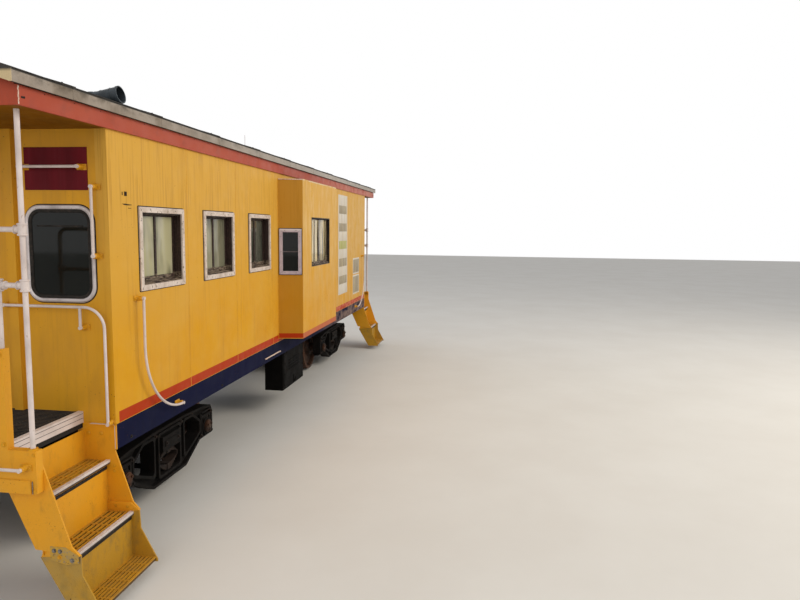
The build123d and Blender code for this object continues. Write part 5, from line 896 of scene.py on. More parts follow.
class CABOOSE_OT_curtains(bpy.types.Operator):
    """Hang two pleated cotton curtains on a rod behind each bay window"""

    bl_idname = "caboose.curtains"
    bl_label = "Curtains"

    def execute(self, context):
        """Build the rods and the cloths, whose heading folds over the rod."""
        sizes = context.scene.caboose_sizes
        wrap, tuck, head = 0.0066, 0.02, 0.05
        length = CURTAIN_DROP + math.pi * wrap + tuck
        width = CURTAIN_SPREAD - 0.01
        for name, side in SIDES:
            middle = side * CURTAIN_Y
            parts = rod((-0.555, middle, CURTAIN_ROD_Z), (0.555, middle, CURTAIN_ROD_Z), 0.006)
            for end in (-1, 1):
                parts += collar((end * 0.548, middle, CURTAIN_ROD_Z), (1, 0, 0), 0.006, 0.0095, 0.014)
                foot = frame_at((end * 0.54, side * 1.675, CURTAIN_ROD_Z), (0, -side, 0))
                parts += bar(foot, 0.016, 0.034, 0.003, 0.001) + bar(foot, 0.009, 0.014, 0.026, 0.002)
                for top in (0.012, -0.012):
                    parts += rivet(moved(foot, 0, top, 0.003), 0.006)
            holder = make_piece(f"curtain_rod_{name}", "bolt_galvanised", parts, ("bay_curtains",))
            for half, label in ((-1, "near"), (1, "far")):
                mesh = bmesh.new()
                bmesh.ops.create_grid(mesh, x_segments=8 * sizes.pleat_count, y_segments=60, size=0.5)
                for vert in mesh.verts:
                    across, along = vert.co.x + 0.5, (vert.co.y + 0.5) * length
                    drawn = min(1.0, max(0.0, (along - CURTAIN_DROP + head) / head))
                    drawn = drawn * drawn * (3 - 2 * drawn)
                    depth = sizes.pleat_depth * (1 - 0.88 * drawn)
                    wave = math.tau * (sizes.pleat_count * across + 0.35 * math.sin(9 * across + 2 * half))
                    over = min(math.pi, max(0.0, (along - CURTAIN_DROP) / wrap))
                    below = max(0.0, along - CURTAIN_DROP - math.pi * wrap)
                    off = wrap * drawn * math.cos(over) + depth * math.sin(wave)
                    z = CURTAIN_ROD_Z + min(0.0, along - CURTAIN_DROP) + wrap * math.sin(over) - below
                    x = half * (0.01 + width * across)
                    vert.co = (x, middle + side * off, z)
                piece = keep_piece(f"curtain_{name}_{label}", "curtain_cotton_woven", mesh, ("bay_curtains",))
                cloth = piece.modifiers.new("cloth", "SOLIDIFY")
                cloth.thickness, cloth.offset = 0.0006, 0.0
        return {"FINISHED"}


class CABOOSE_OT_side_window_trim(bpy.types.Operator):
    """Caulk, screw and mitre the framed windows, and fit the sashes' pulls and seals"""

    bl_idname = "caboose.side_window_trim"
    bl_label = "Side window trim"

    def execute(self, context):
        """Build the trim of the side, slanted and flat bay windows."""
        bead = context.scene.caboose_sizes.caulk_width
        section = ((0, 0), (0, bead * 0.45), (bead * 0.5, bead * 0.55), (bead, 0))
        caulk, screws, seals, pulls = [], [], [], []
        for here, width, height in (*side_window_frames(), *slant_window_frames()):
            caulk += moulding(here, width, height, 0.002, section, 2)
            half_w, half_h = (width - FLANGE_WIDTH) / 2, (height - FLANGE_WIDTH) / 2
            for right, top in CORNERS:
                corner = moved(here, right * half_w, top * half_h, FLANGE_PROUD - 0.001, right * top * math.pi / 4)
                caulk += bar(corner, 0.062, 0.0016, 0.0014, 0.0003)
                screws += rivet(moved(here, right * half_w, top * half_h * 0.72, FLANGE_PROUD), 0.011)
                screws += rivet(moved(here, right * half_w * 0.6, top * half_h, FLANGE_PROUD), 0.011)
            for right in (-1, 1):
                screws += rivet(moved(here, right * half_w, 0, FLANGE_PROUD), 0.011)
            seal = ((-0.006, -0.02), (-0.006, -0.014), (-0.001, -0.012), (0, -0.02))
            seals += moulding(here, width - 2 * FLANGE_WIDTH, height - 2 * FLANGE_WIDTH, 0.003, seal, 2)
        for here, width, height in side_window_frames():
            low = -height / 2 + FLANGE_WIDTH
            for right in (-0.16, 0.16):
                pulls += bar(moved(here, right, low + 0.034, -0.067), 0.07, 0.012, 0.012, 0.003)
            pulls += bar(moved(here, 0, low + 0.05, -0.067), 0.03, 0.016, 0.01, 0.003)
            pulls += bar(moved(here, 0, low + 0.013, -0.05), width - 0.11, 0.01, 0.03, 0.002)
        for side in (-1, 1):
            here = on_side(side, 0, BAY_FACE_Y, BAY_WINDOW_Z)
            seal = ((0, -0.03), (0, -0.001), (-0.012, -0.001), (-0.012, -0.03))
            seals += moulding(here, *BAY_WINDOW_SIZE, 0.006, seal, 2)
            pulls += bar(moved(here, 0, -0.328, -0.036), 0.98, 0.02, 0.022, 0.003)
            pulls += bar(moved(here, -0.2, 0, -0.052), 0.012, 0.62, 0.008, 0.002)
            for right in (-0.3, 0.25):
                pulls += bar(moved(here, right, -0.3, -0.041), 0.06, 0.014, 0.012, 0.003)
        make_piece("window_caulk", "seal_rubber_black", caulk)
        make_piece("window_frame_screws", "bolt_galvanised", screws)
        make_piece("window_seals", "seal_rubber_black", seals)
        make_piece("sash_pulls", "sash_brown_alkyd", pulls)
        return {"FINISHED"}


class CABOOSE_OT_end_window_mouldings(bpy.types.Operator):
    """Put rounded aluminium mouldings and rubber gaskets round the end windows"""

    bl_idname = "caboose.end_window_mouldings"
    bl_label = "End window mouldings"

    def execute(self, context):
        """Build the mouldings, gaskets and the dark outer beads that stand for the shadow round the mouldings."""
        y, z, width, height, corner = END_WINDOW
        crown = ((-0.016, 0), (-0.0155, 0.008), (-0.011, 0.0125), (-0.004, 0.0148), (0.004, 0.0148), (0.011, 0.0125))
        crown += ((0.0155, 0.008), (0.016, 0))
        lip = ((-0.013, 0), (-0.013, 0.004), (-0.008, 0.0095), (0.004, 0.011), (0.013, 0.009), (0.013, 0))
        bead = ((0, 0), (0, 0.005), (0.006, 0.003), (0.008, 0))
        rings, gaskets, blocks = [], [], []
        for end, side in CORNERS:
            here = on_end(end, HALF_LENGTH, side * y, z)
            rings += moulding(here, width - 0.032, height - 0.032, corner - 0.016, crown, 10)
            gaskets += moulding(here, width - 0.09, height - 0.09, corner - 0.045, lip, 10)
            # Painted shadow: a dark rubber bead round the outside of each moulding
            gaskets += moulding(here, width, height, corner, bead, 10)
            blocks += bar(moved(here, 0, height / 2 - 0.16, 0.0005), width - 0.2, 0.012, 0.004, 0.001)
        make_piece("end_window_mouldings", "end_window_aluminium", rings, ("end_window_rings",))
        make_piece("end_window_gaskets", "seal_rubber_black", gaskets)
        make_piece("end_window_tint_strips", "seal_rubber_black", blocks)
        return {"FINISHED"}


class CABOOSE_OT_railing_fittings(bpy.types.Operator):
    """Add the collars, sockets and bolts of the end railings' malleable fittings"""

    bl_idname = "caboose.railing_fittings"
    bl_label = "Railing fittings"

    def execute(self, context):
        """Build the fittings of both ends."""
        fittings, bolts = [], []
        for end, side in CORNERS:
            x = end * STANCHION_X
            for z, posts in RAIL_POSTS:
                for y in (side * post for post in posts):
                    for lift in (-0.034, 0.034):
                        fittings += collar((x, y, z + lift), (0, 0, 1), 0.027, 0.0315, 0.013)
                    for way in (-1, 1):
                        if INNER_POST_Y <= abs(y + way * 0.045) <= STANCHION_Y:
                            fittings += collar((x, y + way * 0.034, z), (0, 1, 0), 0.0185, 0.0235, 0.03)
                            fittings += collar((x, y + way * 0.05, z), (0, 1, 0), 0.024, 0.028, 0.01)
            for y, turn in ((STANCHION_Y, 0.0), (INNER_POST_Y, 0.5)):
                for step, (right, top) in enumerate(ring(4, 0.0245, math.pi / 4)):
                    bolts += bolt(on_top(x + right, side * y + top, END_SILL_TOP + 0.01), 0.008, turn + step)
            for z in (END_SILL_TOP + 0.035, ANGLE_POST_TOP - 0.04):
                bolts += bolt(on_end(end, SILL_FACE, side * (ANGLE_POST_Y + 0.004), z), 0.02, z)
            cap = on_top(x - end * 0.001, side * ANGLE_POST_Y, ANGLE_POST_TOP - 0.012)
            bolts += bar(cap, 0.07, 0.05, 0.012, 0.004)
        make_piece("railing_fittings", "pipe_off_white_enamel", fittings)
        make_piece("railing_bolts", "bracket_yellow_enamel", bolts)
        return {"FINISHED"}


class CABOOSE_OT_handrail_brackets(bpy.types.Operator):
    """Bolt a cast bracket to the wall at each handrail's foot"""

    bl_idname = "caboose.handrail_brackets"
    bl_label = "Handrail brackets"

    def execute(self, context):
        """Build the brackets of the end, side and sill handrails."""
        feet, parts = [], []
        for end, side in CORNERS:
            feet += [on_end(end, HALF_LENGTH, side * y, z) for y, z in WALL_FEET]
            feet.append(on_end(end, STRINGER_X, side * 1.388, FLOOR_TOP + 0.018))
            feet += [on_side(side, end * x, HALF_WIDTH, z) for x, z in ((4.56, 2.12), (3.92, 1.085))]
            feet += [on_end(end, SILL_FACE, side * y, 1.115) for y in (0.82, 1.29)]
        for here in feet:
            parts += bar(here, 0.082, 0.046, 0.008, 0.004)
            shape = ((0, 0.004), (0.026, 0.004), (0.022, 0.014), (0.0185, 0.04), (0.0215, 0.05), (0.0185, 0.058))
            parts += turned(here, *shape, (0, 0.058))
            for right in (-1, 1):
                parts += bolt(moved(here, right * 0.029, 0, 0.007), 0.014, here.translation.z)
        make_piece("handrail_brackets", "bracket_yellow_enamel", parts)
        return {"FINISHED"}


class CABOOSE_OT_body_side_details(bpy.types.Operator):
    """Add weld seams, corner rivets, lamp bracket, sill strap and the bays' flashing"""

    bl_idname = "caboose.body_side_details"
    bl_label = "Body side details"

    def execute(self, context):
        """Build the small things on both body sides."""
        seams, rivets, dark, marks, pale = [], [], [], [], []
        for side in (-1, 1):
            for x in (-3.62, -2.44, -1.22, 1.22, 2.35, 3.5):
                here = on_side(side, x, HALF_WIDTH, (FLOOR_TOP + EAVE) / 2)
                seams += bar(here, 0.007, EAVE - FLOOR_TOP - 0.01, 0.0012, 0.0004)
            seams += bar(on_side(side, 0, HALF_WIDTH, FLOOR_TOP + 0.002), 9.7, 0.004, 0.0012, 0.0004)
            for step in range(21):
                rivets += rivet(on_side(side, 4.875, HALF_WIDTH, 2.13 + step * 0.06))
            here = on_side(side, -4.672, HALF_WIDTH, 2.956)
            marks += bar(here, 0.034, 0.034, 0.004, 0.002)
            marks += bar(moved(here, side * 0.045), 0.008, 0.026, 0.003, 0.001)
            marks += rivet(moved(here, 0, 0.004, 0.003), 0.014)
            here = on_side(side, -4.656, HALF_WIDTH, 2.873)
            marks += plate(here, LAMP_BRACKET, 0.003)
            marks += bar(moved(here, -side * 0.04, -0.028), 0.045, 0.004, 0.002, 0.0006)
            here = on_side(side, -1.25, HALF_WIDTH, 1.026)
            pale += bar(here, 0.6, 0.014, 0.012, 0.003)
            for spot in (-0.27, 0.0, 0.27):
                pale += bolt(moved(here, spot, 0, 0.012), 0.012)
            for x in (-4.7, 4.7, -2.9, 2.9):
                dark += bolt(on_side(side, x, HALF_WIDTH, 1.005), 0.016, x)
            for end in (-1, 1):
                pale += bar(on_slant(end, side, BAY_HEAD - 0.006), 0.32, 0.012, 0.006, 0.002)
                seams += bar(on_slant(end, side, BAY_FOOT + 0.004), 0.33, 0.008, 0.002, 0.0006)
                corner = on_side(side, end * (BAY_HALF + BAY_SLANT), HALF_WIDTH, (BAY_FOOT + BAY_HEAD) / 2)
                seams += bar(moved(corner, 0.004 * end), 0.012, BAY_HEAD - BAY_FOOT, 0.003, 0.001)
        for end, side in CORNERS:
            panel = on_end(end, HALF_LENGTH, side * PANEL_Y, PANEL_Z)
            for right, top in CORNERS:
                dark += rivet(moved(panel, right * 0.245, top * 0.146, 0.005), 0.009)
            for z in (1.5, 2.2, 2.9):
                seams += rivet(moved(on_end(end, HALF_LENGTH + 0.04, side * 0.618, z), 0.02 * side), 0.012)
        make_piece("side_weld_seams", "bracket_yellow_enamel", seams)
        make_piece("corner_rivets", "bracket_yellow_enamel", rivets)
        make_piece("lamp_bracket_stubs", "spring_steel_rusted", marks)
        make_piece("sill_bolts", "seal_rubber_black", dark)
        make_piece("bay_flashing", "seam_sealant_pale", pale)
        return {"FINISHED"}


class CABOOSE_OT_faded_panels(bpy.types.Operator):
    """Lay the blank faded vinyl rectangles on the photographed side"""

    bl_idname = "caboose.faded_panels"
    bl_label = "Faded panels"

    def execute(self, context):
        """Build the column of rectangles and the pair beside it."""
        count = context.scene.caboose_sizes.panel_count
        groups = {"vinyl_pale": [], "vinyl_grey": [], "vinyl_green": []}
        low, high, x, pair_x = 1.485, 3.305, 2.8, 4.01
        pitch = (high - low) / count
        wall = on_side(-1, 0, HALF_WIDTH, 0)
        groups["vinyl_pale"] += bar(moved(wall, x, (low + high) / 2), 0.75, high - low + 0.05, 0.0012, 0.0004)
        for row in range(count):
            tone = "green" if row == count // 2 else ("pale", "grey")[row % 2]
            here = moved(wall, x, high - (row + 0.5) * pitch, 0.0012)
            groups[f"vinyl_{tone}"] += bar(here, 0.62, pitch - 0.012, 0.0014, 0.0004)
        for top, bottom in ((2.085, 1.785), (1.735, 1.37)):
            middle, tall = (top + bottom) / 2, top - bottom
            groups["vinyl_pale"] += bar(moved(wall, pair_x, middle), 0.62, tall + 0.03, 0.0012, 0.0004)
            groups["vinyl_grey"] += bar(moved(wall, pair_x, middle, 0.0012), 0.54, tall - 0.03, 0.0014, 0.0004)
        for finish, parts in groups.items():
            make_piece(f"faded_{finish}", finish, parts)
        return {"FINISHED"}


class CABOOSE_OT_eave_details(bpy.types.Operator):
    """Add the eave's seams, straps and drip edge, the roof's rivets, the stack and the antenna's spring"""

    bl_idname = "caboose.eave_details"
    bl_label = "Eave and roof details"

    def execute(self, context):
        """Build the eave's and the roof's small parts, and the stack that leans to the photographed side."""
        pale, dark, straps, rivets = [], [], [], []
        seam_xs = [(seam - 4.5) * 2 * ROOF_END / 10 for seam in range(10)]
        for side in (-1, 1):
            for end in (-1, 1):
                for step in range(8):
                    x = end * (HOOD_END - 0.006 + 0.002 * math.sin(2.4 * step))
                    pale += bar(on_side(side, x, FASCIA_Y, EAVE + 0.012 + step * 0.0137), 0.009, 0.016, 0.002, 0.0006)
                here = on_side(side, end * (HOOD_END - 0.045), FASCIA_Y, 3.475)
                dark += bar(here, 0.03, 0.012, 0.003, 0.001)
                dark += rivet(moved(here, 0.01, 0.002, 0.002), 0.014)
            dark += bar(on_side(side, 0, ROOF_HALF, ROOF_EDGE_TOP - 0.006), 2 * ROOF_END - 0.02, 0.007, 0.004, 0.001)
            for x in seam_xs:
                straps += bar(on_side(side, x, ROOF_HALF, 3.585), 0.034, 0.074, 0.003, 0.001)
                for z in (3.565, 3.605):
                    straps += rivet(on_side(side, x, ROOF_HALF + 0.003, z), 0.009)
            for step in range(38):
                dark += rivet(on_side(side, step * 0.3027 - 5.6, FASCIA_Y, FASCIA_TOP - 0.014), 0.008)
        for x in seam_xs:
            for step in range(-6, 7):
                y = step * 0.23
                normal = Vector((0, y, math.sqrt(ROOF_RADIUS**2 - y**2)))
                spot = Vector((x, y, roof_z(y))) + normal.normalized() * 0.0055
                rivets += rivet(frame_at(spot, normal), 0.015)
        x, y = STACK
        foot = on_top(x, y + 0.12, roof_z(y + 0.12) - 0.01)
        flange = ((0, 0), (0.13, 0), (0.13, 0.022), (0.125, 0.026), (0.092, 0.05), (0.081, 0.056), (0, 0.056))
        stack = turned(foot, *flange, steps=32)
        stack += turned(foot, (0, 0.04), (0.08, 0.04), (0.08, 0.12), (0.05, 0.16), (0, 0.17), steps=32)
        lean = Vector((0, -1, 0.2))
        elbow = frame_at((x, y + 0.2, roof_z(0) + 0.035), lean)
        reach = 0.385
        tube = ((0, 0), (0.07, 0), (0.08, 0.012), (0.08, reach - 0.024), (0.085, reach - 0.022), (0.085, reach))
        stack += turned(elbow, *tube, (0.074, reach), (0.074, 0.05), (0, 0.05), steps=32)
        for spot in (0.14, 0.2, 0.3):
            stack += collar(elbow @ Vector((0, 0, spot)), lean, 0.0805, 0.0835, 0.014)
        for step, (right, top) in enumerate(ring(8, 0.112, 0.2)):
            stack += bolt(moved(foot, right, top, 0.024), 0.014, step)
        make_piece("smokejack_leaning", "stack_rolled_sheet", stack, ("smokejack",))
        cone = ((0, 0.03), (0.02, 0.03), (0.012, 0.05), (0.009, 0.11), (0.005, 0.125), (0, 0.125))
        aerial = turned(on_top(ANTENNA_X, 0, CROWN), *cone)
        for right, top in ring(4, 0.021, math.pi / 4):
            aerial += bolt(on_top(ANTENNA_X + right, top, CROWN + 0.03), 0.007)
        make_piece("fascia_corner_seams", "seam_sealant_pale", pale)
        make_piece("eave_drip_and_nails", "seal_rubber_black", dark)
        make_piece("eave_lap_straps", "roof_bitumen_and_edge", straps)
        make_piece("roof_rivets", "stack_rolled_sheet", rivets)
        make_piece("antenna_spring", "stack_rolled_sheet", aerial)
        return {"FINISHED"}


class CABOOSE_OT_platform_details(bpy.types.Operator):
    """Add the decks' cross rods, the nosings' screws, and the steps' bolts, bosses and pale edges"""

    bl_idname = "caboose.platform_details"
    bl_label = "Platform and step details"

    def execute(self, context):
        """Build the small parts of the decks and the steps."""
        rods, screws, gaps, grey, yellow, edges, plates, laps = [], [], [], [], [], [], [], []
        for end in (-1, 1):
            for step in range(23):
                y = step * 0.095 - 1.045
                start = (end * STRINGER_X, y, DECK_TOP - 0.006)
                rods += rod(start, (end * (SILL_BACK - 0.012), y, DECK_TOP - 0.006), 0.0045, 6)
        for end, side in CORNERS:
            for step in range(5):
                x = end * (HALF_LENGTH + 0.08 + step * 0.154)
                screws += rivet(on_top(x, side * 1.118, DECK_TOP + 0.006), 0.012)
            middle = end * (HALF_LENGTH + SILL_BACK) / 2
            # Painted shadow: thin dark rubber strips stand for the shadow gaps under the deck edge and under the tread
            # nosings
            for z in (1.202, 1.238):
                gaps += bar(on_side(side, middle, 1.14, z), 0.76, 0.0035, 0.001, 0.0003)
            for top, riser in ((0.83, 1.332), (0.44, 1.533)):
                gaps += bar(on_side(side, middle, riser, top - 0.014), 0.75, 0.027, 0.001, 0.0003)
            splice, lap = (tuple((end * side * y, z) for y, z in shape) for shape in (SPLICE_PLATE, LAP_PLATE))
            plates += plate(on_end(end, SILL_BACK, 0, 0), splice, 0.003)
            for x in (HALF_LENGTH + 0.0125, SILL_BACK - 0.0235):
                laps += plate(on_end(end, x, 0, 0), lap, 0.011)
            bare = ((grey, 1.415, 0.519), (grey, 1.459, 0.518), (yellow, 1.454, 0.476), (grey, 1.545, 0.46))
            for metal, y, z in bare:
                metal += bolt(on_end(end, SILL_BACK + 0.003, side * y, z), 0.017, y * 9)
            for y, z in ((1.398, 0.834), (1.396, 0.791)):
                yellow += bolt(on_end(end, STRINGER_X, side * y, z), 0.014, y * 7)
            for y, z in ((1.555, 0.49), (1.5, 0.515), (1.4, 0.515)):
                yellow += bolt(on_end(end, HALF_LENGTH + 0.0235, side * y, z), 0.014, y * 7)
            for y, z in ((1.188, 1.088), (1.295, 1.091)):
                boss = ((0, 0), (0.016, 0), (0.016, 0.006), (0.012, 0.009), (0, 0.01))
                yellow += turned(on_end(end, STRINGER_X, side * y, z), *boss, steps=16)
            for y, z, tall, tilt in ((1.41, 1.066, 0.19, 0.0), (1.305, 1.158, 0.2, math.pi / 2)):
                here = moved(on_end(end, HALF_LENGTH + 0.0125, side * y, z), turn=tilt)
                edges += bar(here, 0.005, tall, 0.0015, 0.0004)
            edges += bar(on_top(end * (HALF_LENGTH + 0.014), side * 1.308, FLOOR_TOP), 0.024, 0.2, 0.002, 0.0006)
            for top, nose in ((0.85, 1.36), (0.45, 1.552)):
                for step in range(9):
                    x = end * (HALF_LENGTH + 0.07 + step * 0.08)
                    edges += bar(on_top(x, side * (nose - 0.018), top + 0.031), 0.03, 0.006, 0.0018, 0.0006)
            for z in (0.955, 1.2):
                yellow += bolt(on_end(end, SILL_FACE, side * 1.345, z), 0.014, z * 5)
            grey += bar(on_end(end, SILL_FACE + 0.003, side * 1.332, 0.98), 0.004, 0.086, 0.007, 0.001)
            yellow += bar(on_end(end, SILL_FACE, side * 0.78, 1.0265), 1.08, 0.006, 0.005, 0.002)
        make_piece("deck_cross_rods", "grating_black_grit", rods)
        make_piece("nosing_ribs_and_screws", "pipe_off_white_enamel", screws)
        make_piece("riser_shadow_strips", "seal_rubber_black", gaps)
        make_piece("step_bolts", "bolt_galvanised", grey)
        make_piece("step_bosses_and_welds", "bracket_yellow_enamel", yellow)
        make_piece("step_splice_plates", "splice_plate_worn", plates)
        make_piece("step_lap_plates", "step_yellow_enamel", laps)
        make_piece("step_pale_edges", "pipe_off_white_enamel", edges)
        return {"FINISHED"}


class CABOOSE_OT_brake_stand_details(bpy.types.Operator):
    """Add the hand brakes' covers, hub nuts, pawl levers and stand bolts"""

    bl_idname = "caboose.brake_stand_details"
    bl_label = "Brake stand details"

    def execute(self, context):
        """Build the parts of both brake stands."""
        parts, bolts = [], []
        for end in (-1, 1):
            y = -end * BRAKE_Y
            here = frame_at((end * (BRAKE_FACE + 0.001), y, BRAKE_Z), (-end, 0, 0))
            parts += moulding(here, 0.19, 0.26, 0.045, ((-0.006, 0), (-0.004, 0.006), (0.004, 0.006), (0.006, 0)), 5)
            nut = ((0, 0.05), (0.026, 0.05), (0.03, 0.058), (0.022, 0.07), (0.014, 0.072), (0.014, 0.082), (0, 0.084))
            parts += turned(here, *nut, steps=6)
            for right, top in CORNERS:
                bolts += bolt(moved(here, right * 0.078, top * 0.112, 0.001), 0.015, top)
            lever = ((0.07, 0.16, -0.03), (0.1, 0.2, -0.03), (0.16, 0.22, -0.03), (0.175, 0.25, -0.03))
            parts += bent(here, lever, 0.007)
            knob = ((0, 0), (0.013, 0), (0.015, 0.01), (0.01, 0.022), (0, 0.024))
            parts += turned(moved(here, 0.175, 0.25, -0.04), *knob)
            outer = on_end(end, STAND_FACE, y, 1.3)
            for top, reach in ((0.0, 0.17), (0.62, 0.11), (0.9, 0.11)):
                for right in (-reach, reach):
                    bolts += bolt(moved(outer, right, top), 0.018, right * 9)
            for right in (-0.105, 0.105):
                parts += bar(frame_at((end * STAND_BACK, y + right, 1.62), (-end, 0, 0)), 0.012, 0.58, 0.02, 0.003)
        make_piece("brake_stand_parts", "end_yellow_enamel", parts)
        make_piece("brake_stand_bolts", "bracket_yellow_enamel", bolts)
        return {"FINISHED"}


class CABOOSE_OT_door_details(bpy.types.Operator):
    """Add the doors' gaskets, kick plates and lock plates, and the jambs round them"""

    bl_idname = "caboose.door_details"
    bl_label = "Door details"

    def execute(self, context):
        """Build the parts of both doors and their frames."""
        jambs = []
        pane = (0.42, 0.64, 0.05, ((-0.008, 0), (-0.006, 0.006), (0.004, 0.007), (0.008, 0)))
        for name, end in ENDS:
            seal = moulding(on_end(end, DOOR_FACE, 0, DOOR_PANE_Z), *pane)
            seal += moulding(frame_at((end * (DOOR_FACE - 0.04), 0, DOOR_PANE_Z), (-end, 0, 0)), *pane)
            make_piece(f"door_gaskets_{name}", "seal_rubber_black", seal, body=f"door_{name}")
            kick = on_end(end, DOOR_FACE, 0, DOOR_BOTTOM + 0.11)
            plates = bar(kick, 0.58, 0.17, 0.0025, 0.001)
            lock = on_end(end, DOOR_FACE, -end * 0.305, LATCH_Z)
            plates += bar(lock, 0.06, 0.2, 0.004, 0.0015)
            key_ring = ((0, 0.004), (0.013, 0.004), (0.013, 0.01), (0.004, 0.01), (0, 0.008))
            plates += turned(moved(lock, 0, -0.065), *key_ring)
            for y in (-0.26, -0.09, 0.09, 0.26):
                for top in (-0.065, 0.065):
                    plates += rivet(moved(kick, end * y, top, 0.002), 0.01)
            for top in (-0.085, 0.085):
                plates += rivet(moved(lock, 0, top, 0.004), 0.009)
            for z in (DOOR_BOTTOM + 0.25, DOOR_BOTTOM + 0.98, DOOR_BOTTOM + 1.7):
                for y in (-0.33, -0.3):
                    for top in (-0.018, 0.018):
                        plates += rivet(on_end(end, DOOR_FACE, -end * y, z + top), 0.009)
            make_piece(f"door_plates_{name}", "end_window_aluminium", plates, body=f"door_{name}")
            middle = DOOR_BOTTOM + 0.975
            for side in (-1, 1):
                jamb = on_end(end, HALF_LENGTH, side * JAMB_Y, middle)
                jambs += bar(jamb, 0.03, 2.02, 0.006, 0.002)
                for step in range(6):
                    jambs += rivet(moved(jamb, 0, -0.9 + step * 0.36, 0.006), 0.011)
            jambs += bar(on_end(end, HALF_LENGTH, 0, middle + 1.0), 0.824, 0.03, 0.008, 0.002)
            jambs += bar(on_end(end, HALF_LENGTH, 0, middle + 1.03), 0.86, 0.018, 0.02, 0.004)
        make_piece("door_jamb_strips", "end_yellow_enamel", jambs)
        return {"FINISHED"}


class CABOOSE_OT_truck_details(bpy.types.Operator):
    """Add the trucks' bolts, pedestal straps, spring rivets, brake levers and axle end bolts"""

    bl_idname = "caboose.truck_details"
    bl_label = "Truck details"

    def execute(self, context):
        """Build the small parts of both trucks and their wheelsets."""
        for name, end in ENDS:
            middle = end * TRUCK_X
            cast, bolts = [], []
            for side in (-1, 1):
                for wheel in (-1, 1):
                    x = middle + wheel * AXLE_REACH
                    cast += bar(on_top(x, side * PEDESTAL_Y, PEDESTAL_Z), 0.4, 0.11, 0.016, 0.004)
                    cast += bar(on_side(side, x, FRAME_FACE_Y - 0.002, 0.62), 0.24, 0.02, 0.014, 0.004)
                    for right in (-0.13, 0.13):
                        bolts += bolt(on_side(side, x + right, FRAME_FACE_Y, 0.36), 0.026, right * 9)
                        bolts += bolt(on_side(side, x + right, FRAME_FACE_Y, 0.585), 0.024, right * 7)
                        under = frame_at((x + right, side * PEDESTAL_Y, PEDESTAL_Z), (0, 0, -1))
                        bolts += bolt(under, 0.026, right)
                    column = middle + wheel * COLUMN_REACH
                    for z in (0.3, 0.42, 0.54, 0.62):
                        bolts += rivet(on_side(side, column, FRAME_FACE_Y - 0.045, z), 0.026)
                    cast += bar(on_side(side, column, 1.035, 0.66), 0.05, 0.09, 0.03, 0.006)
                    bolts += bolt(on_side(side, column, 1.065, 0.66), 0.026, column)
                for spot in (-0.022, 0.022):
                    for z in (0.285, 0.43):
                        bolts += rivet(on_side(side, middle + spot, SPRING_Y, z), 0.013)
                cast += bar(on_side(side, middle, 1.1, 0.55), 0.3, 0.06, 0.012, 0.004)
                for spot in (-0.12, 0.12):
                    bolts += bolt(on_side(side, middle + spot, 1.112, 0.55), turn=spot)
            for wheel in (-1, 1):
                lever = frame_at((middle + wheel * COLUMN_REACH, wheel * 0.06 - 0.006, 0.35), (0, 1, 0))
                shape = ((-0.022, -0.03), (0.022, -0.03), (0.026, 0.06), (0.014, 0.3), (-0.014, 0.3), (-0.026, 0.06))
                cast += plate(lever, shape, 0.014)
                for z in (0.0, 0.045, 0.28):
                    bolts += bolt(moved(lever, 0, z, 0.014), 0.02, z * 9)
            cast += rod((middle - 0.26, 0.0, 0.395), (middle + 0.26, 0.0, 0.395), 0.011)
            make_piece(f"truck_castings_{name}", "side_frame_cast_steel", cast, body=f"truck_{name}")
            make_piece(f"truck_bolts_{name}", "spring_steel_rusted", bolts, body=f"truck_{name}")
            for number, wheel in ((1, -1), (2, 1)):
                hub = []
                for side in (-1, 1):
                    cap = on_side(side, middle + wheel * AXLE_REACH, CAP_FACE_Y, AXLE_Z)
                    dome = ((0, 0), (0.06, 0), (0.058, 0.006), (0.03, 0.008), (0.026, 0.012), (0, 0.013))
                    hub += turned(cap, *dome, steps=24)
                    for step, (right, top) in enumerate(ring(3, 0.045, 0.5)):
                        hub += bolt(moved(cap, right, top, 0.004), 0.024, 0.5 + step * math.tau / 3)
                make_piece(f"axle_end_bolts_{name}{number}", "wheel_forged_steel", hub, body=f"wheelset_{name}{number}")
        return {"FINISHED"}


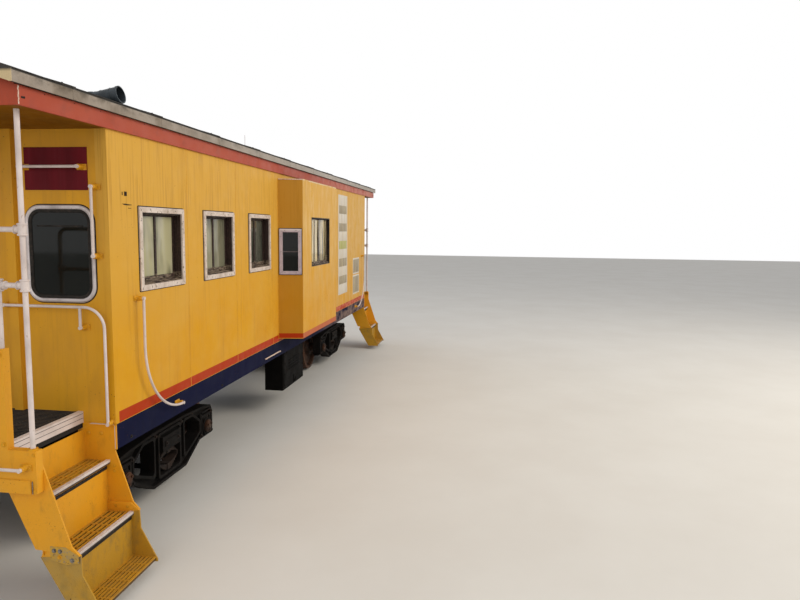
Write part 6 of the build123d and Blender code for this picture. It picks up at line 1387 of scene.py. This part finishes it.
class CABOOSE_OT_underbody_details(bpy.types.Operator):
    """Add the battery box's hinges and louvres, the tank's straps and the brake pipes"""

    bl_idname = "caboose.underbody_details"
    bl_label = "Underbody details"

    def execute(self, context):
        """Build the small parts under the floor."""
        parts, tank = [], []
        door = on_side(-1, *BATTERY_DOOR)
        for right in (-0.32, 0.32):
            parts += bar(moved(door, right, 0.25), 0.09, 0.05, 0.004, 0.001)
            hinge = moved(door, right - 0.045, 0.275, 0.006) @ Matrix.Rotation(math.pi / 2, 4, "Y")
            parts += turned(hinge, (0, 0), (0.008, 0), (0.008, 0.09), (0, 0.09))
            for spot in (-0.03, 0.03):
                parts += rivet(moved(door, right + spot, 0.24, 0.004), 0.01)
        for row in range(4):
            parts += bar(moved(door, 0, 0.1 - row * 0.045), 0.5, 0.012, 0.012, 0.004)
        parts += bar(moved(door, 0, -0.23), 0.04, 0.12, 0.008, 0.002)
        hasp = ((-0.014, -0.27, 0.01), (-0.014, -0.2, 0.03), (0.014, -0.2, 0.03), (0.014, -0.27, 0.01))
        parts += bent(door, hasp, 0.004)
        for right in (-0.44, 0.44):
            for top in (-0.24, -0.08, 0.08, 0.24):
                parts += bolt(moved(door, right, top), 0.014, top * 8)
        make_piece("battery_box_fittings", "underbody_black_paint", parts)
        for x in (-0.633, 0.233):
            strap = ((0, -0.022), (0.202, -0.022), (0.206, -0.018), (0.206, 0.018), (0.202, 0.022), (0, 0.022))
            tank += turned(on_end(1, x, TANK_Y, TANK_Z), *strap, steps=32)
            for side in (-1, 1):
                tank += bolt(on_top(x, TANK_Y + side * 0.12, 0.845), 0.018, x)
        flange = ((0, -0.008), (0.142, -0.008), (0.145, 0), (0.142, 0.008), (0, 0.008))
        for x in (1.2, 1.6):
            tank += turned(on_end(1, x, TANK_Y, TANK_Z), *flange, steps=32)
        for step, (right, top) in enumerate(ring(8, 0.137)):
            tank += bolt(moved(on_end(1, 1.608, TANK_Y, TANK_Z), right, top), 0.014, step)
        tank += rod((1.64, TANK_Y, TANK_Z), (1.9, TANK_Y, TANK_Z), 0.018)
        tank += collar((1.66, TANK_Y, TANK_Z), (1, 0, 0), 0.02, 0.034, 0.03)
        drain = ((0, -0.03), (0.014, -0.03), (0.018, -0.01), (0.03, 0.012), (0, 0.012))
        tank += turned(on_top(-0.2, TANK_Y, 0.457), *drain)
        pipe = ((0.6, TANK_Y, TANK_Z), (0.66, TANK_Y, 0.74), (0.9, 0.8, 0.9), (1.1, 0.86, 0.72))
        tank += bent(Matrix.Identity(4), ((0.49, TANK_Y, TANK_Z), *pipe, (1.15, TANK_Y, TANK_Z)), 0.012)
        make_piece("air_gear_fittings", "underbody_black_paint", tank)
        return {"FINISHED"}


class CABOOSE_OT_coupler_details(bpy.types.Operator):
    """Add the strikers' bolts, the couplers' pin heads and cast ribs, and the knuckles' worn faces"""

    bl_idname = "caboose.coupler_details"
    bl_label = "Coupler details"

    def execute(self, context):
        """Build the small parts of both couplers."""
        bolts = []
        for name, end in ENDS:
            head = []
            for z, way in ((1.043, 1), (0.735, -1)):
                spot = Vector((end * KNUCKLE_PIN[0], end * KNUCKLE_PIN[1], z))
                pin = ((0, -0.002), (0.03, -0.002), (0.032, 0.006), (0.026, 0.016), (0, 0.018))
                head += turned(frame_at(spot, (0, 0, way)), *pin, steps=16)
            top = on_top(end * 5.95, 0, 1.029)
            for right in (0.07, -0.07):
                head += bar(moved(top, 0, right), 0.2, 0.022, 0.014, 0.005)
            head += bar(moved(top, -end * 0.075), 0.03, 0.16, 0.01, 0.004)
            boss = ((0, 0), (0.03, 0), (0.03, 0.008), (0.018, 0.01), (0, 0.004))
            head += turned(moved(top, end * 0.04), *boss, steps=16)
            head += bar(frame_at((end * 5.8, end * -0.065, COUPLER_Z), (0, -end, 0)), 0.16, 0.018, 0.01, 0.004)
            make_piece(f"coupler_castings_{name}", "coupler_cast_steel", head, body=f"coupler_{name}")
            x, y = KNUCKLE_FACE
            face = bar(on_end(end, x, end * y, COUPLER_Z), 0.05, 0.15, 0.004, 0.0015)
            make_piece(f"knuckle_face_{name}", "wheel_forged_steel", face, body=f"knuckle_{name}")
            for y in (-0.165, 0.165):
                for z in (COUPLER_Z - 0.089, COUPLER_Z, COUPLER_Z + 0.089):
                    bolts += bolt(on_end(end, STRIKER_FACE, y, z), 0.026, z * 7)
        make_piece("striker_bolts", "step_yellow_enamel", bolts)
        return {"FINISHED"}


class CABOOSE_PT_panel(bpy.types.Panel):
    """Lists the caboose's steps"""

    bl_idname = "CABOOSE_PT_panel"
    bl_label = "Caboose"
    bl_space_type = "VIEW_3D"
    bl_region_type = "UI"
    bl_category = "Caboose"

    def draw(self, context):
        """Draw the settings and a button for each step."""
        for group in GROUPS:
            for key in GROUPS[group].__annotations__:
                self.layout.prop(getattr(context.scene, group), key)
        for step in STEPS:
            self.layout.operator(step.bl_idname)


GROUPS = {"caboose_paint": CaboosePaint, "caboose_sizes": CabooseSizes, "caboose_stage": CabooseStage}
STEPS = (
    CABOOSE_OT_stage,
    CABOOSE_OT_frame_paint,
    CABOOSE_OT_curtains,
    CABOOSE_OT_side_window_trim,
    CABOOSE_OT_end_window_mouldings,
    CABOOSE_OT_railing_fittings,
    CABOOSE_OT_handrail_brackets,
    CABOOSE_OT_body_side_details,
    CABOOSE_OT_faded_panels,
    CABOOSE_OT_eave_details,
    CABOOSE_OT_platform_details,
    CABOOSE_OT_brake_stand_details,
    CABOOSE_OT_door_details,
    CABOOSE_OT_truck_details,
    CABOOSE_OT_underbody_details,
    CABOOSE_OT_coupler_details,
)


def register():
    """Register the classes and the scene's settings."""
    for item in (*GROUPS.values(), *STEPS, CABOOSE_PT_panel):
        bpy.utils.register_class(item)
    for name, group in GROUPS.items():
        setattr(bpy.types.Scene, name, PointerProperty(type=group))


def unregister():
    """Take the settings and the classes away."""
    for name in GROUPS:
        delattr(bpy.types.Scene, name)
    for item in reversed((*GROUPS.values(), *STEPS, CABOOSE_PT_panel)):
        bpy.utils.unregister_class(item)


def main():
    """Run every step in order."""
    register()
    for step in STEPS:
        group, name = step.bl_idname.split(".")
        getattr(getattr(bpy.ops, group), name)()


if __name__ == "__main__":
    main()
